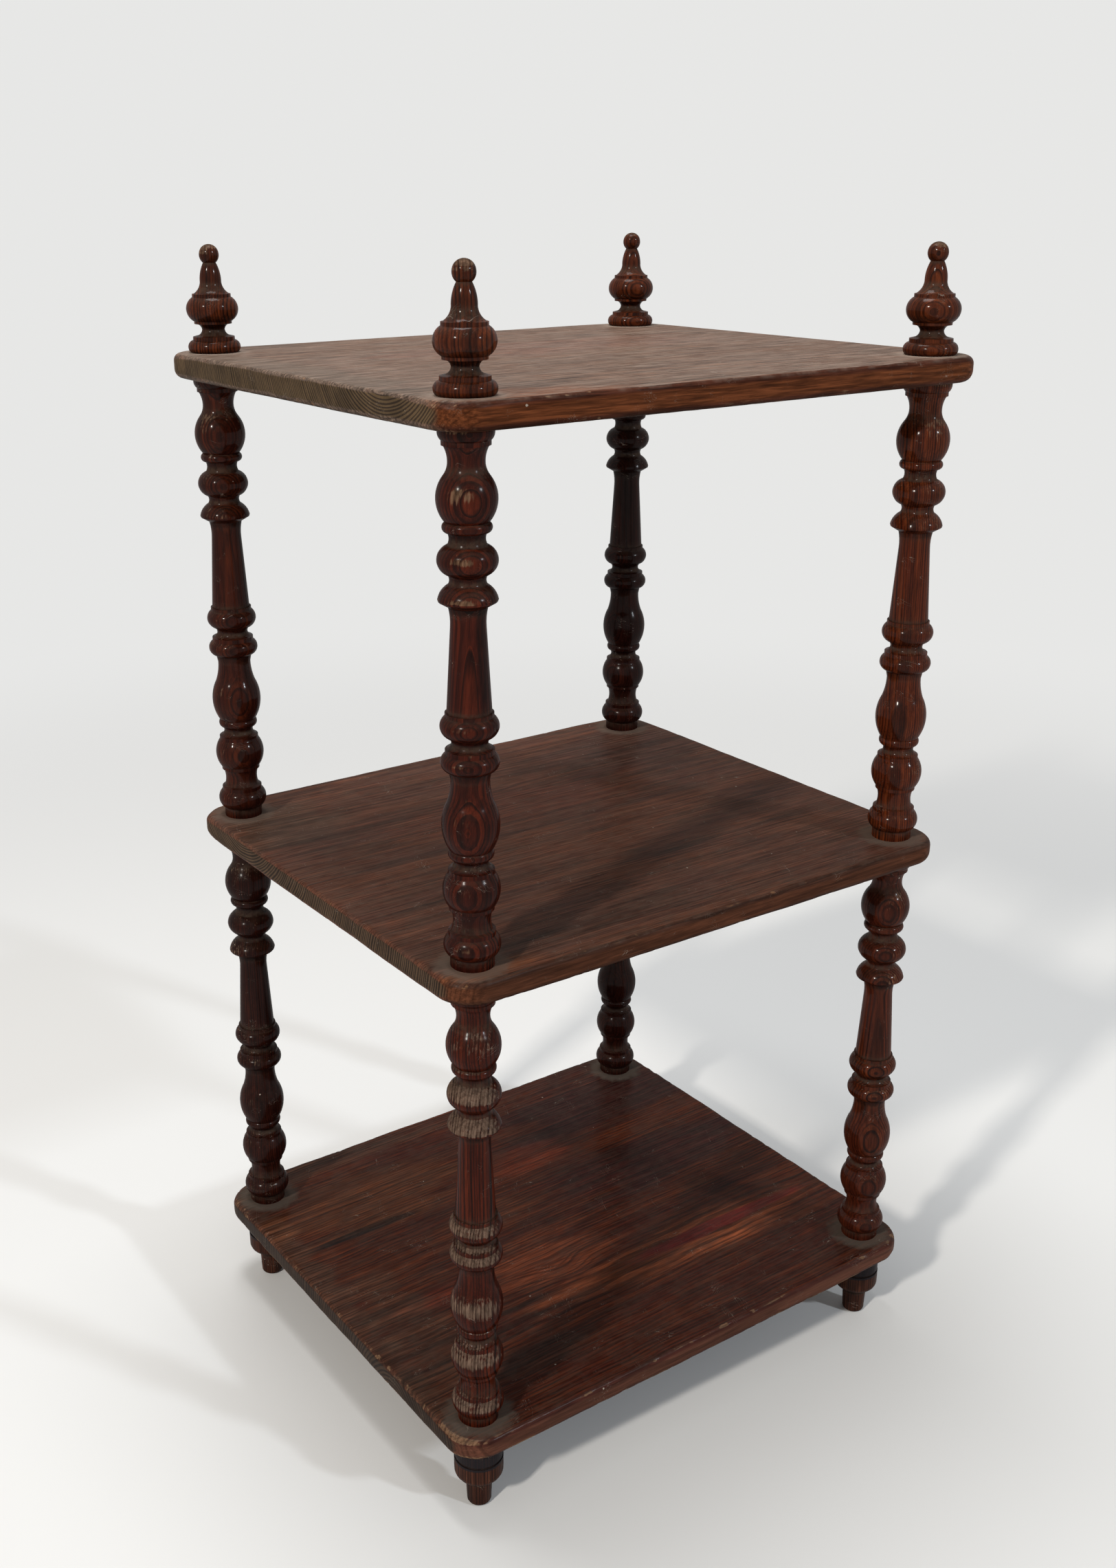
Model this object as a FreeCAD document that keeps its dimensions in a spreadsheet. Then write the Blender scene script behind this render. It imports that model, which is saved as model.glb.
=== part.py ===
"""Three-tier shelf of turned pine: three boards on eight posts, with four finials and four feet.

Millimetres, +Z up, origin on the floor at the middle of the footprint. The long edge of the boards, and
their grain, run along X. Every turned piece is one half outline swept round its own upright axis. A post
stands with its base on one board and its head under the next; a tenon under its base goes down through the
board into the socket in the head of the piece below.
"""
import FreeCAD, Part
import math
import os
import Sketcher

Vector = FreeCAD.Vector

# Driving sizes in millimetres. Of a moulding, "lower" and "upper" are its heights below and above the line
# that its "radius" is given for.
SIZES = {
    # Boards
    "board_length": 460.0,
    "board_width": 402.0,
    "board_thickness": 18.5,
    "corner_radius": 26.0,
    "top_edge_round": 5.0,
    "under_edge_round": 6.5,
    # Distance of the posts' axes from the ends and the sides of the boards
    "post_end_inset": 30.0,
    "post_side_inset": 29.0,
    # Tenons and sockets
    "tenon_radius": 7.5,
    "tenon_grip": 16.0,
    "tenon_chamfer": 1.0,
    "tenon_clearance": 0.12,
    "socket_spare": 1.0,
    # Post, from the base up: the base and the waist above it
    "base_radius": 15.1,
    "base_height": 8.2,
    "base_torus_start_radius": 16.3,
    "base_torus_radius": 19.4,
    "base_torus_lower": 7.0,
    "base_torus_upper": 7.4,
    "base_fillet_radius": 16.0,
    "base_fillet_height": 2.8,
    "waist_start_radius": 13.8,
    "waist_start_height": 1.2,
    "waist_radius": 12.7,
    "waist_lower": 7.0,
    "waist_upper": 7.0,
    "waist_end_radius": 14.2,
    "collar_radius": 15.2,
    "collar_height": 3.0,
    # Post: the ball and its neck
    "ball_start_radius": 15.9,
    "ball_radius": 19.35,
    "ball_lower": 12.0,
    "ball_upper": 10.8,
    "ball_fillet_radius": 15.6,
    "ball_fillet_height": 2.6,
    "ball_neck_radius": 11.6,
    "ball_neck_lower": 3.8,
    "ball_neck_upper": 3.6,
    # Post: the lower vase and the ring under it
    "vase_ring_start_radius": 12.4,
    "vase_ring_radius": 15.3,
    "vase_ring_lower": 3.0,
    "vase_ring_upper": 3.4,
    "vase_foot_radius": 14.3,
    "vase_radius": 19.3,
    "vase_lower": 15.8,
    "vase_upper": 16.9,
    "vase_shoulder_radius": 15.5,
    "vase_flare_radius": 13.6,
    "vase_flare_lower": 7.0,
    "vase_flare_upper": 8.5,
    "vase_neck_radius": 12.85,
    # Post: the ring and disc above the lower vase, and the torus under the shaft
    "ring_cone_height": 5.6,
    "ring_start_radius": 14.0,
    "ring_radius": 19.3,
    "ring_lower": 5.8,
    "ring_upper": 6.2,
    "disc_radius": 16.2,
    "disc_height": 3.0,
    "torus_neck_radius": 12.0,
    "torus_neck_lower": 3.8,
    "torus_neck_upper": 4.0,
    "torus_start_radius": 14.2,
    "torus_radius": 19.3,
    "torus_lower": 6.8,
    "torus_upper": 7.2,
    "shaft_fillet_radius": 15.9,
    "shaft_fillet_height": 2.6,
    # Post: the tapered shaft
    "shaft_foot_radius": 14.7,
    "shaft_height": 55.5,
    "shaft_head_radius": 11.5,
    "shaft_cove_radius": 11.75,
    "shaft_cove_lower": 8.0,
    "shaft_cove_upper": 4.6,
    # Post: the sharp lip, the bead and the ring over the shaft
    "lip_start_radius": 12.6,
    "lip_under_height": 3.6,
    "lip_under_radius": 18.9,
    "lip_edge_height": 1.2,
    "lip_radius": 19.3,
    "lip_hollow_radius": 17.0,
    "lip_hollow_lower": 5.2,
    "lip_hollow_upper": 4.0,
    "lip_end_radius": 12.5,
    "bead_neck_radius": 11.6,
    "bead_neck_lower": 3.1,
    "bead_neck_upper": 2.9,
    "bead_start_radius": 12.6,
    "bead_radius": 19.3,
    "bead_lower": 8.6,
    "bead_upper": 10.0,
    "bead_end_radius": 12.6,
    "upper_ring_neck_radius": 11.5,
    "upper_ring_neck_lower": 3.8,
    "upper_ring_neck_upper": 3.8,
    "upper_ring_start_radius": 12.4,
    "upper_ring_radius": 15.8,
    "upper_ring_lower": 2.8,
    "upper_ring_upper": 3.6,
    # Post: the upper vase, the cove and the bead of the head
    "upper_vase_foot_radius": 13.9,
    "upper_vase_radius": 19.3,
    "upper_vase_lower": 14.3,
    "upper_vase_upper": 13.5,
    "upper_vase_shoulder_radius": 14.8,
    "upper_vase_flare_radius": 12.5,
    "upper_vase_flare_lower": 4.0,
    "upper_vase_flare_upper": 5.0,
    "upper_neck_radius": 11.7,
    "head_cove_radius": 12.3,
    "head_cove_lower": 4.6,
    "head_cove_upper": 5.0,
    "head_cove_end_radius": 14.4,
    "head_fillet_radius": 15.4,
    "head_fillet_height": 2.8,
    "head_bead_radius": 17.7,
    "head_bead_lower": 4.4,
    "head_bead_upper": 3.2,
    "head_radius": 17.2,
    # Finial, from its seat up: the torus, the step and the cove
    "finial_seat_radius": 17.7,
    "finial_torus_radius": 19.6,
    "finial_torus_lower": 4.8,
    "finial_torus_upper": 4.0,
    "finial_torus_end_radius": 16.3,
    "finial_step_radius": 15.7,
    "finial_step_height": 2.6,
    "finial_cove_start_height": 0.6,
    "finial_cove_start_radius": 13.2,
    "finial_cove_low_radius": 9.8,
    "finial_cove_low_lower": 1.6,
    "finial_cove_low_upper": 3.0,
    "finial_neck_radius": 8.5,
    "finial_cove_high_radius": 9.6,
    "finial_cove_high_lower": 2.4,
    "finial_cove_high_upper": 1.7,
    "finial_cove_end_radius": 12.8,
    # Finial: the bulb, the bell and the ball
    "finial_bulb_fillet_radius": 14.1,
    "finial_bulb_fillet_height": 1.8,
    "finial_bulb_radius": 19.4,
    "finial_bulb_lower": 8.5,
    "finial_bulb_upper": 8.9,
    "finial_cap_radius": 14.4,
    "finial_cap_height": 2.3,
    "finial_flare_start_radius": 13.4,
    "finial_flare_radius": 9.7,
    "finial_flare_lower": 3.4,
    "finial_flare_upper": 4.9,
    "finial_bell_radius": 8.0,
    "finial_bell_shoulder_radius": 7.1,
    "finial_bell_lower": 7.9,
    "finial_bell_upper": 5.8,
    "finial_pinch_radius": 4.8,
    "finial_ball_radius": 7.45,
    # Foot, from the floor up
    "foot_height": 61.5,
    "sole_radius": 5.9,
    "peg_edge_radius": 8.3,
    "peg_edge_lower": 1.0,
    "peg_edge_upper": 2.6,
    "peg_low_radius": 9.3,
    "peg_high_radius": 10.3,
    "peg_height": 21.8,
    "drum_under_radius": 12.0,
    "drum_curve_radius": 17.2,
    "drum_curve_lower": 2.2,
    "drum_curve_upper": 4.6,
    "drum_radius": 18.8,
    "drum_height": 11.2,
    "groove_radius": 17.5,
    "groove_width": 1.8,
    "foot_head_radius": 18.5,
}

CORNERS = {
    "front_left": (-1, -1),
    "front_right": (1, -1),
    "back_left": (-1, 1),
    "back_right": (1, 1),
}

# Sums of sizes that more than one piece takes
HOLE_RADIUS = "tenon_radius + tenon_clearance"
SOCKET_DEPTH = "tenon_grip + socket_spare"
TENON_LENGTH = "board_thickness + tenon_grip"
POST_ALONG = "( board_length / 2 - post_end_inset )"
POST_DEEP = "( board_width / 2 - post_side_inset )"

doc = FreeCAD.newDocument("three_tier_shelf")
sheet = doc.addObject("Spreadsheet::Sheet", "Sizes")
for row, (alias, value) in enumerate(SIZES.items(), start=1):
    sheet.set(f"A{row}", alias)
    sheet.set(f"B{row}", str(value))
    sheet.setAlias(f"B{row}", alias)
doc.recompute()


def size(formula):
    """Turn a sum of plain size names into an expression on the sheet."""
    words = []
    for word in formula.split():
        words.append(f"Sizes.{word}" if word in SIZES else word)
    return " ".join(words)


def value_of(formula):
    """Number that a sum of size names comes to."""
    return float(sheet.evalExpression(size(formula)))


def new_body(name):
    """Empty body whose label is the name of the piece."""
    body = doc.addObject("PartDesign::Body", name)
    body.Label = name
    return body


def new_sketch(body, name, role):
    """Empty sketch on one of the body's own origin planes."""
    sketch = body.newObject("Sketcher::SketchObject", name)
    plane = next(item for item in body.Origin.OriginFeatures if item.Role == role)
    sketch.AttachmentSupport = (plane, "")
    sketch.MapMode = "FlatFace"
    return sketch


class Rules:
    """Constraints of one sketch, given to it all at once and bound to the sheet."""

    # The sketch's own origin point and its two axes, by number
    ORIGIN = (-1, 1)
    ACROSS_AXIS = (-1,)
    UPRIGHT_AXIS = (-2,)

    def __init__(self, sketch):
        self.sketch = sketch
        self.waiting = []

    def add(self, kind, *places):
        """Rule without a size."""
        self.waiting.append((Sketcher.Constraint(kind, *places), None))

    def add_size(self, kind, places, formula):
        """Rule whose size is a sum on the sheet."""
        self.waiting.append((Sketcher.Constraint(kind, *places, value_of(formula)), size(formula)))

    def settle(self):
        """Put the rules in the sketch."""
        numbers = self.sketch.addConstraint([rule for rule, bound in self.waiting])
        for number, (rule, bound) in zip(numbers, self.waiting):
            if bound:
                self.sketch.setExpression(f"Constraints[{number}]", bound)


class Turning:
    """Half outline of a turned piece, drawn out from the axis, up, and back in to the axis.

    Each point is held at its distance from the axis and at its height over the point before it.
    """

    def __init__(self, body, name, level):
        self.body = body
        self.sketch = new_sketch(body, name, "XZ_Plane")
        self.rules = Rules(self.sketch)
        self.start_level = level
        self.level = level
        self.point = Vector(0, value_of(level), 0)
        self.first = None
        self.last = None

    def _hold_radius(self, place, radius):
        """Hold a point at a distance from the axis, or on it."""
        if radius == "0":
            self.rules.add("PointOnObject", *place, *Rules.UPRIGHT_AXIS)
        else:
            self.rules.add_size("DistanceX", (*Rules.ORIGIN, *place), radius)

    def _hold_level(self, place, level):
        """Hold a point at a level over the seat, on it or under it."""
        if level == "0":
            self.rules.add("PointOnObject", *place, *Rules.ACROSS_AXIS)
        elif value_of(level) > 0:
            self.rules.add_size("DistanceY", (*Rules.ORIGIN, *place), level)
        else:
            self.rules.add_size("DistanceY", (*place, *Rules.ORIGIN), f"-( {level} )")

    def _follow(self, begin, end, target):
        """Join a new edge to the one before, or hold it where the outline starts."""
        if self.first is None:
            self.first = begin
            self._hold_radius(begin, "0")
            self._hold_level(begin, self.start_level)
        else:
            self.rules.add("Coincident", *self.last, *begin)
        self.last = end
        self.point = target

    def _edge(self, target):
        """Straight edge from the last point."""
        edge = self.sketch.addGeometry(Part.LineSegment(self.point, target))
        self._follow((edge, 1), (edge, 2), target)
        return edge

    def _climb(self, below, above, height):
        """Hold one point at a height over another and count the height into the level."""
        self.rules.add_size("DistanceY", (*below, *above), height)
        self.level = height if self.level == "0" else f"{self.level} + {height}"

    def flat(self, radius):
        """Level edge, in or out to a distance from the axis."""
        edge = self._edge(Vector(value_of(radius), self.point.y, 0))
        self.rules.add("Horizontal", edge)
        self._hold_radius(self.last, radius)

    def up(self, height):
        """Edge straight up by a height."""
        begin = self.last
        edge = self._edge(self.point + Vector(0, value_of(height), 0))
        self.rules.add("Vertical", edge)
        self._climb(begin, self.last, height)

    def up_to(self, level):
        """Edge straight up to a level."""
        edge = self._edge(Vector(self.point.x, value_of(level), 0))
        self.rules.add("Vertical", edge)
        self._hold_level(self.last, level)
        self.level = level

    def slope(self, radius, height):
        """Straight edge up by a height to another distance from the axis."""
        begin = self.last
        self._edge(Vector(value_of(radius), self.point.y + value_of(height), 0))
        self._hold_radius(self.last, radius)
        self._climb(begin, self.last, height)

    def curve(self, via_radius, lower, upper, radius):
        """Round edge up by two heights, through a point between them, to a distance from the axis."""
        begin = self.last
        start = self.point
        via = Vector(value_of(via_radius), start.y + value_of(lower), 0)
        target = Vector(value_of(radius), via.y + value_of(upper), 0)
        through = Part.Circle(start, via, target)
        bulges = (via - start).cross(target - via).z > 0
        ordered = (start, target) if bulges else (target, start)
        angles = [math.atan2(point.y - through.Center.y, point.x - through.Center.x) for point in ordered]
        circle = Part.Circle(through.Center, Vector(0, 0, 1), through.Radius)
        edge = self.sketch.addGeometry(Part.ArcOfCircle(circle, *angles))
        mark = (self.sketch.addGeometry(Part.Point(via), True), 1)
        ends = ((edge, 1), (edge, 2)) if bulges else ((edge, 2), (edge, 1))
        self.rules.add("PointOnObject", *mark, edge)
        self._hold_radius(mark, via_radius)
        self._climb(begin, mark, lower)
        self._follow(*ends, target)
        self._hold_radius(self.last, radius)
        self._climb(mark, self.last, upper)

    def ball(self, radius):
        """Round edge about a centre on the axis above, up to the top of the ball."""
        reach = value_of(radius)
        middle = Vector(0, self.point.y + math.sqrt(reach ** 2 - self.point.x ** 2), 0)
        low = math.atan2(self.point.y - middle.y, self.point.x)
        circle = Part.Circle(middle, Vector(0, 0, 1), reach)
        edge = self.sketch.addGeometry(Part.ArcOfCircle(circle, low, math.pi / 2))
        self._follow((edge, 1), (edge, 2), middle + Vector(0, reach, 0))
        self.rules.add("PointOnObject", edge, 3, *Rules.UPRIGHT_AXIS)
        self.rules.add("PointOnObject", *self.last, *Rules.UPRIGHT_AXIS)
        self.rules.add_size("Radius", (edge,), radius)

    def tenon(self):
        """Round tenon with a chamfered end, from below up to the seat."""
        self.flat("tenon_radius - tenon_chamfer")
        self.slope("tenon_radius", "tenon_chamfer")
        self.up_to("0")

    def socket(self):
        """Blind round socket in the head, from its rim down and in to the axis."""
        self.flat(HOLE_RADIUS)
        rim = self.last
        edge = self._edge(self.point - Vector(0, value_of(SOCKET_DEPTH), 0))
        self.rules.add("Vertical", edge)
        self.rules.add_size("DistanceY", (*self.last, *rim), SOCKET_DEPTH)
        self.flat("0")

    def sweep(self):
        """Close the outline along the axis and turn it once round."""
        self._edge(Vector(0, value_of(self.start_level), 0))
        self.rules.add("Coincident", *self.last, *self.first)
        self.rules.settle()
        turned = self.body.newObject("PartDesign::Revolution", f"{self.sketch.Name}_turned")
        turned.Profile = self.sketch
        turned.ReferenceAxis = (self.sketch, ["V_Axis"])
        turned.Angle = 360
        self.sketch.Visibility = False


def stand(body, corner, level):
    """Put a turned piece over one corner's tenon hole, at a level."""
    along, deep = CORNERS[corner]
    body.setExpression(".Placement.Base.x", f"{along} * {size(POST_ALONG)}")
    body.setExpression(".Placement.Base.y", f"{deep} * {size(POST_DEEP)}")
    body.setExpression(".Placement.Base.z", size(level))


def post_base(outline):
    """Tenon, base torus, waist, ball, lower vase, ring and disc, and the torus under the shaft."""
    outline.tenon()
    outline.flat("base_radius")
    outline.up("base_height")
    outline.flat("base_torus_start_radius")
    outline.curve("base_torus_radius", "base_torus_lower", "base_torus_upper", "base_fillet_radius")
    outline.up("base_fillet_height")
    outline.slope("waist_start_radius", "waist_start_height")
    outline.curve("waist_radius", "waist_lower", "waist_upper", "waist_end_radius")
    outline.flat("collar_radius")
    outline.up("collar_height")
    outline.flat("ball_start_radius")
    outline.curve("ball_radius", "ball_lower", "ball_upper", "ball_fillet_radius")
    outline.up("ball_fillet_height")
    outline.curve("ball_neck_radius", "ball_neck_lower", "ball_neck_upper", "vase_ring_start_radius")
    outline.curve("vase_ring_radius", "vase_ring_lower", "vase_ring_upper", "vase_foot_radius")
    outline.curve("vase_radius", "vase_lower", "vase_upper", "vase_shoulder_radius")
    outline.curve("vase_flare_radius", "vase_flare_lower", "vase_flare_upper", "vase_neck_radius")
    outline.slope("ring_start_radius", "ring_cone_height")
    outline.curve("ring_radius", "ring_lower", "ring_upper", "disc_radius")
    outline.up("disc_height")
    outline.curve("torus_neck_radius", "torus_neck_lower", "torus_neck_upper", "torus_start_radius")
    outline.curve("torus_radius", "torus_lower", "torus_upper", "shaft_fillet_radius")
    outline.up("shaft_fillet_height")
    outline.flat("0")


def post_head(outline):
    """Tapered shaft, sharp lip, bead, ring and upper vase, then the cove and the bead round the socket."""
    outline.flat("shaft_foot_radius")
    outline.slope("shaft_head_radius", "shaft_height")
    outline.curve("shaft_cove_radius", "shaft_cove_lower", "shaft_cove_upper", "lip_start_radius")
    outline.slope("lip_under_radius", "lip_under_height")
    outline.slope("lip_radius", "lip_edge_height")
    outline.curve("lip_hollow_radius", "lip_hollow_lower", "lip_hollow_upper", "lip_end_radius")
    outline.curve("bead_neck_radius", "bead_neck_lower", "bead_neck_upper", "bead_start_radius")
    outline.curve("bead_radius", "bead_lower", "bead_upper", "bead_end_radius")
    outline.curve("upper_ring_neck_radius", "upper_ring_neck_lower", "upper_ring_neck_upper",
                  "upper_ring_start_radius")
    outline.curve("upper_ring_radius", "upper_ring_lower", "upper_ring_upper", "upper_vase_foot_radius")
    outline.curve("upper_vase_radius", "upper_vase_lower", "upper_vase_upper", "upper_vase_shoulder_radius")
    outline.curve("upper_vase_flare_radius", "upper_vase_flare_lower", "upper_vase_flare_upper",
                  "upper_neck_radius")
    outline.curve("head_cove_radius", "head_cove_lower", "head_cove_upper", "head_cove_end_radius")
    outline.flat("head_fillet_radius")
    outline.up("head_fillet_height")
    outline.curve("head_bead_radius", "head_bead_lower", "head_bead_upper", "head_radius")
    outline.socket()


def make_post(name, corner, level):
    """Turned post between two boards; gives the piece and the level of its head over its base."""
    body = new_body(name)
    lower_half = Turning(body, f"{name}_base", f"-( {TENON_LENGTH} )")
    post_base(lower_half)
    lower_half.sweep()
    upper_half = Turning(body, f"{name}_shaft", lower_half.level)
    post_head(upper_half)
    upper_half.sweep()
    stand(body, corner, level)
    return body, upper_half.level


def make_posts(tier, level):
    """The four posts of one tier and the level of their heads over their bases."""
    posts = []
    for corner in CORNERS:
        post, head_level = make_post(f"{tier}_post_{corner}", corner, level)
        posts.append(post)
    return posts, head_level


def make_finial(name, corner, level):
    """Turned finial: tenon, torus, cove, bulb, bell and ball."""
    body = new_body(name)
    outline = Turning(body, f"{name}_outline", f"-( {TENON_LENGTH} )")
    outline.tenon()
    outline.flat("finial_seat_radius")
    outline.curve("finial_torus_radius", "finial_torus_lower", "finial_torus_upper",
                  "finial_torus_end_radius")
    outline.flat("finial_step_radius")
    outline.up("finial_step_height")
    outline.slope("finial_cove_start_radius", "finial_cove_start_height")
    outline.curve("finial_cove_low_radius", "finial_cove_low_lower", "finial_cove_low_upper",
                  "finial_neck_radius")
    outline.curve("finial_cove_high_radius", "finial_cove_high_lower", "finial_cove_high_upper",
                  "finial_cove_end_radius")
    outline.flat("finial_bulb_fillet_radius")
    outline.up("finial_bulb_fillet_height")
    outline.curve("finial_bulb_radius", "finial_bulb_lower", "finial_bulb_upper", "finial_cap_radius")
    outline.up("finial_cap_height")
    outline.flat("finial_flare_start_radius")
    outline.curve("finial_flare_radius", "finial_flare_lower", "finial_flare_upper", "finial_bell_radius")
    outline.curve("finial_bell_shoulder_radius", "finial_bell_lower", "finial_bell_upper",
                  "finial_pinch_radius")
    outline.ball("finial_ball_radius")
    outline.sweep()
    stand(body, corner, level)
    return body


def make_foot(name, corner):
    """Turned foot: a peg on the floor, a drum with a rounded underside and a groove, and a socket."""
    body = new_body(name)
    outline = Turning(body, f"{name}_outline", "0")
    outline.flat("sole_radius")
    outline.curve("peg_edge_radius", "peg_edge_lower", "peg_edge_upper", "peg_low_radius")
    outline.slope("peg_high_radius", "peg_height")
    outline.flat("drum_under_radius")
    outline.curve("drum_curve_radius", "drum_curve_lower", "drum_curve_upper", "drum_radius")
    outline.up("drum_height")
    outline.flat("groove_radius")
    outline.up("groove_width")
    outline.flat("foot_head_radius")
    outline.up_to("foot_height")
    outline.socket()
    outline.sweep()
    stand(body, corner, "0")
    return body


def edges_where(shape, test):
    """Names of the edges of a shape that pass a test."""
    return [f"Edge{index}" for index, edge in enumerate(shape.Edges, start=1) if test(edge)]


def round_edges(body, base, alias, test):
    """Round the edges of a feature that pass a test."""
    doc.recompute()
    fillet = body.newObject("PartDesign::Fillet", f"{body.Name}_{alias}")
    fillet.Base = (base, edges_where(base.Shape, test))
    fillet.Radius = value_of(alias)
    fillet.setExpression("Radius", size(alias))
    return fillet


def board_blank(body, name):
    """Plain rectangular board, centred over the origin."""
    sketch = new_sketch(body, f"{name}_outline", "XY_Plane")
    rules = Rules(sketch)
    half = Vector(value_of("board_length") / 2, value_of("board_width") / 2, 0)
    turns = ((-1, -1), (1, -1), (1, 1), (-1, 1))
    corners = [Vector(along * half.x, deep * half.y, 0) for along, deep in turns]
    for index, corner in enumerate(corners):
        sketch.addGeometry(Part.LineSegment(corner, corners[(index + 1) % 4]))
        rules.add("Coincident", index, 2, (index + 1) % 4, 1)
        rules.add("Vertical" if index % 2 else "Horizontal", index)
    rules.add("Symmetric", 0, 1, 2, 1, *Rules.ORIGIN)
    rules.add_size("DistanceX", (0, 1, 0, 2), "board_length")
    rules.add_size("DistanceY", (1, 1, 1, 2), "board_width")
    rules.settle()
    pad = body.newObject("PartDesign::Pad", f"{name}_pad")
    pad.Profile = sketch
    pad.Length = value_of("board_thickness")
    pad.setExpression("Length", size("board_thickness"))
    return pad


def tenon_holes(body, name):
    """Hole through the board under each post."""
    sketch = new_sketch(body, f"{name}_holes", "XY_Plane")
    rules = Rules(sketch)
    reach = Vector(value_of(POST_ALONG), value_of(POST_DEEP), 0)
    for along, deep in CORNERS.values():
        centre = Vector(along * reach.x, deep * reach.y, 0)
        hole = sketch.addGeometry(Part.Circle(centre, Vector(0, 0, 1), value_of(HOLE_RADIUS)))
        rules.add_size("Radius", (hole,), HOLE_RADIUS)
        across = (*Rules.ORIGIN, hole, 3) if along > 0 else (hole, 3, *Rules.ORIGIN)
        rules.add_size("DistanceX", across, POST_ALONG)
        inwards = (*Rules.ORIGIN, hole, 3) if deep > 0 else (hole, 3, *Rules.ORIGIN)
        rules.add_size("DistanceY", inwards, POST_DEEP)
    rules.settle()
    pocket = body.newObject("PartDesign::Pocket", f"{name}_tenon_holes")
    pocket.Profile = sketch
    pocket.Type = "ThroughAll"
    pocket.Midplane = True
    return pocket


def make_board(name, level):
    """Board with rounded corners, rounded upper and lower edges, and the four tenon holes."""
    body = new_body(name)
    pad = board_blank(body, name)

    def upright(edge):
        """Whether an edge runs up and down."""
        return abs(edge.Vertexes[0].Z - edge.Vertexes[-1].Z) > value_of("board_thickness") / 2

    def rim(height):
        """Test for the edges of the rim at one height."""
        return lambda edge: all(abs(vertex.Z - height) < 1e-6 for vertex in edge.Vertexes)

    corners = round_edges(body, pad, "corner_radius", upright)
    top = round_edges(body, corners, "top_edge_round", rim(value_of("board_thickness")))
    round_edges(body, top, "under_edge_round", rim(0.0))
    tenon_holes(body, name)
    body.setExpression(".Placement.Base.z", size(level))
    return body


def make_shelf():
    """Every piece of the shelf at its level, from the floor up."""
    pieces = [make_foot(f"foot_{corner}", corner) for corner in CORNERS]
    pieces.append(make_board("shelf_bottom", "foot_height"))
    lower_seat = "foot_height + board_thickness"
    posts, post_height = make_posts("lower", lower_seat)
    pieces += posts
    middle_under = f"{lower_seat} + {post_height}"
    pieces.append(make_board("shelf_middle", middle_under))
    upper_seat = f"{middle_under} + board_thickness"
    posts, post_height = make_posts("upper", upper_seat)
    pieces += posts
    top_under = f"{upper_seat} + {post_height}"
    pieces.append(make_board("shelf_top", top_under))
    finial_seat = f"{top_under} + board_thickness"
    pieces += [make_finial(f"finial_{corner}", corner, finial_seat) for corner in CORNERS]
    return pieces


def check(pieces):
    """Stop if any feature failed or any piece is not one valid solid."""
    for item in doc.Objects:
        if "Invalid" in item.State or "Error" in item.State:
            raise RuntimeError(f"{item.Name} failed: {item.State}")
    for piece in pieces:
        shape = piece.Shape
        if shape.isNull() or not shape.isValid() or len(shape.Solids) != 1:
            raise RuntimeError(f"{piece.Label} is not one valid solid")


def write(pieces):
    """Write each piece to its own file, named after its label."""
    os.makedirs("parts", exist_ok=True)
    for piece in pieces:
        piece.Shape.exportStep(os.path.join("parts", f"{piece.Label}.step"))
        print(f"{piece.Label}: {piece.Shape.Volume / 1000:.1f} cm3")


shelf_pieces = make_shelf()
doc.recompute()
check(shelf_pieces)
write(shelf_pieces)
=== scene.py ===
"""Finish of the three-tier shelf: stained pitch pine, varnished, with the wear of long use.

Metres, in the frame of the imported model: +Z up, origin on the floor at the middle of the footprint, the
grain of the boards along X and the grain of every turned piece along its own upright axis.
"""

import logging
import math
import random
from collections.abc import Sequence
from dataclasses import dataclass, field, replace
from enum import Enum

import bmesh
import bpy
from mathutils import Matrix, Vector, noise


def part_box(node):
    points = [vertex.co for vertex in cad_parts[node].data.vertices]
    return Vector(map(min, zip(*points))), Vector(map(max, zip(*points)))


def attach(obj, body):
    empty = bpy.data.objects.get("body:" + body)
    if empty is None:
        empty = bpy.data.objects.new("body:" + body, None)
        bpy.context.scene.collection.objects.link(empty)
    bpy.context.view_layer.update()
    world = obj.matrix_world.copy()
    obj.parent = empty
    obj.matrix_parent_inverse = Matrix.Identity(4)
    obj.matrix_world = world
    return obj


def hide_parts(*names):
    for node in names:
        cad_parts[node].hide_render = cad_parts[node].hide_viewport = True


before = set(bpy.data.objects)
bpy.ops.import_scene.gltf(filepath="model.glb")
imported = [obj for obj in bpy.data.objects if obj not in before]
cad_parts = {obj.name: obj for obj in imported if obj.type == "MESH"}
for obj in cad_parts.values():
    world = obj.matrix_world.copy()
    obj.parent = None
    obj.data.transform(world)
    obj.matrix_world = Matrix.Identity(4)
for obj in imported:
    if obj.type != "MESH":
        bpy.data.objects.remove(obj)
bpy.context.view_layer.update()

LOG = logging.getLogger("shelf")
ROOT = "root"
MM = 0.001
QUARTER = math.pi / 2
UP = Vector((0.0, 0.0, 1.0))
FLAT = (1.0, 1.0, 0.0)

Colour = tuple[float, float, float]
Outline = list[tuple[float, float]]
Stops = tuple[tuple[float, float], ...]
Loop = list[bmesh.types.BMVert]
Nick = tuple[Vector, float, float]
EdgePoint = tuple[float, float, Vector, float]


def stain(red: int, green: int, blue: int) -> Colour:
    """Linear colour of a swatch that was read on a screen.

    Args:
        red: Screen red, 0 to 255.
        green: Screen green, 0 to 255.
        blue: Screen blue, 0 to 255.

    Returns:
        Linear red, green and blue.
    """
    knee, slope, offset, power = 0.04045, 12.92, 0.055, 2.4
    return tuple(level / slope if level <= knee else ((level + offset) / (1 + offset)) ** power
                 for level in (red / 255, green / 255, blue / 255))


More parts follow.
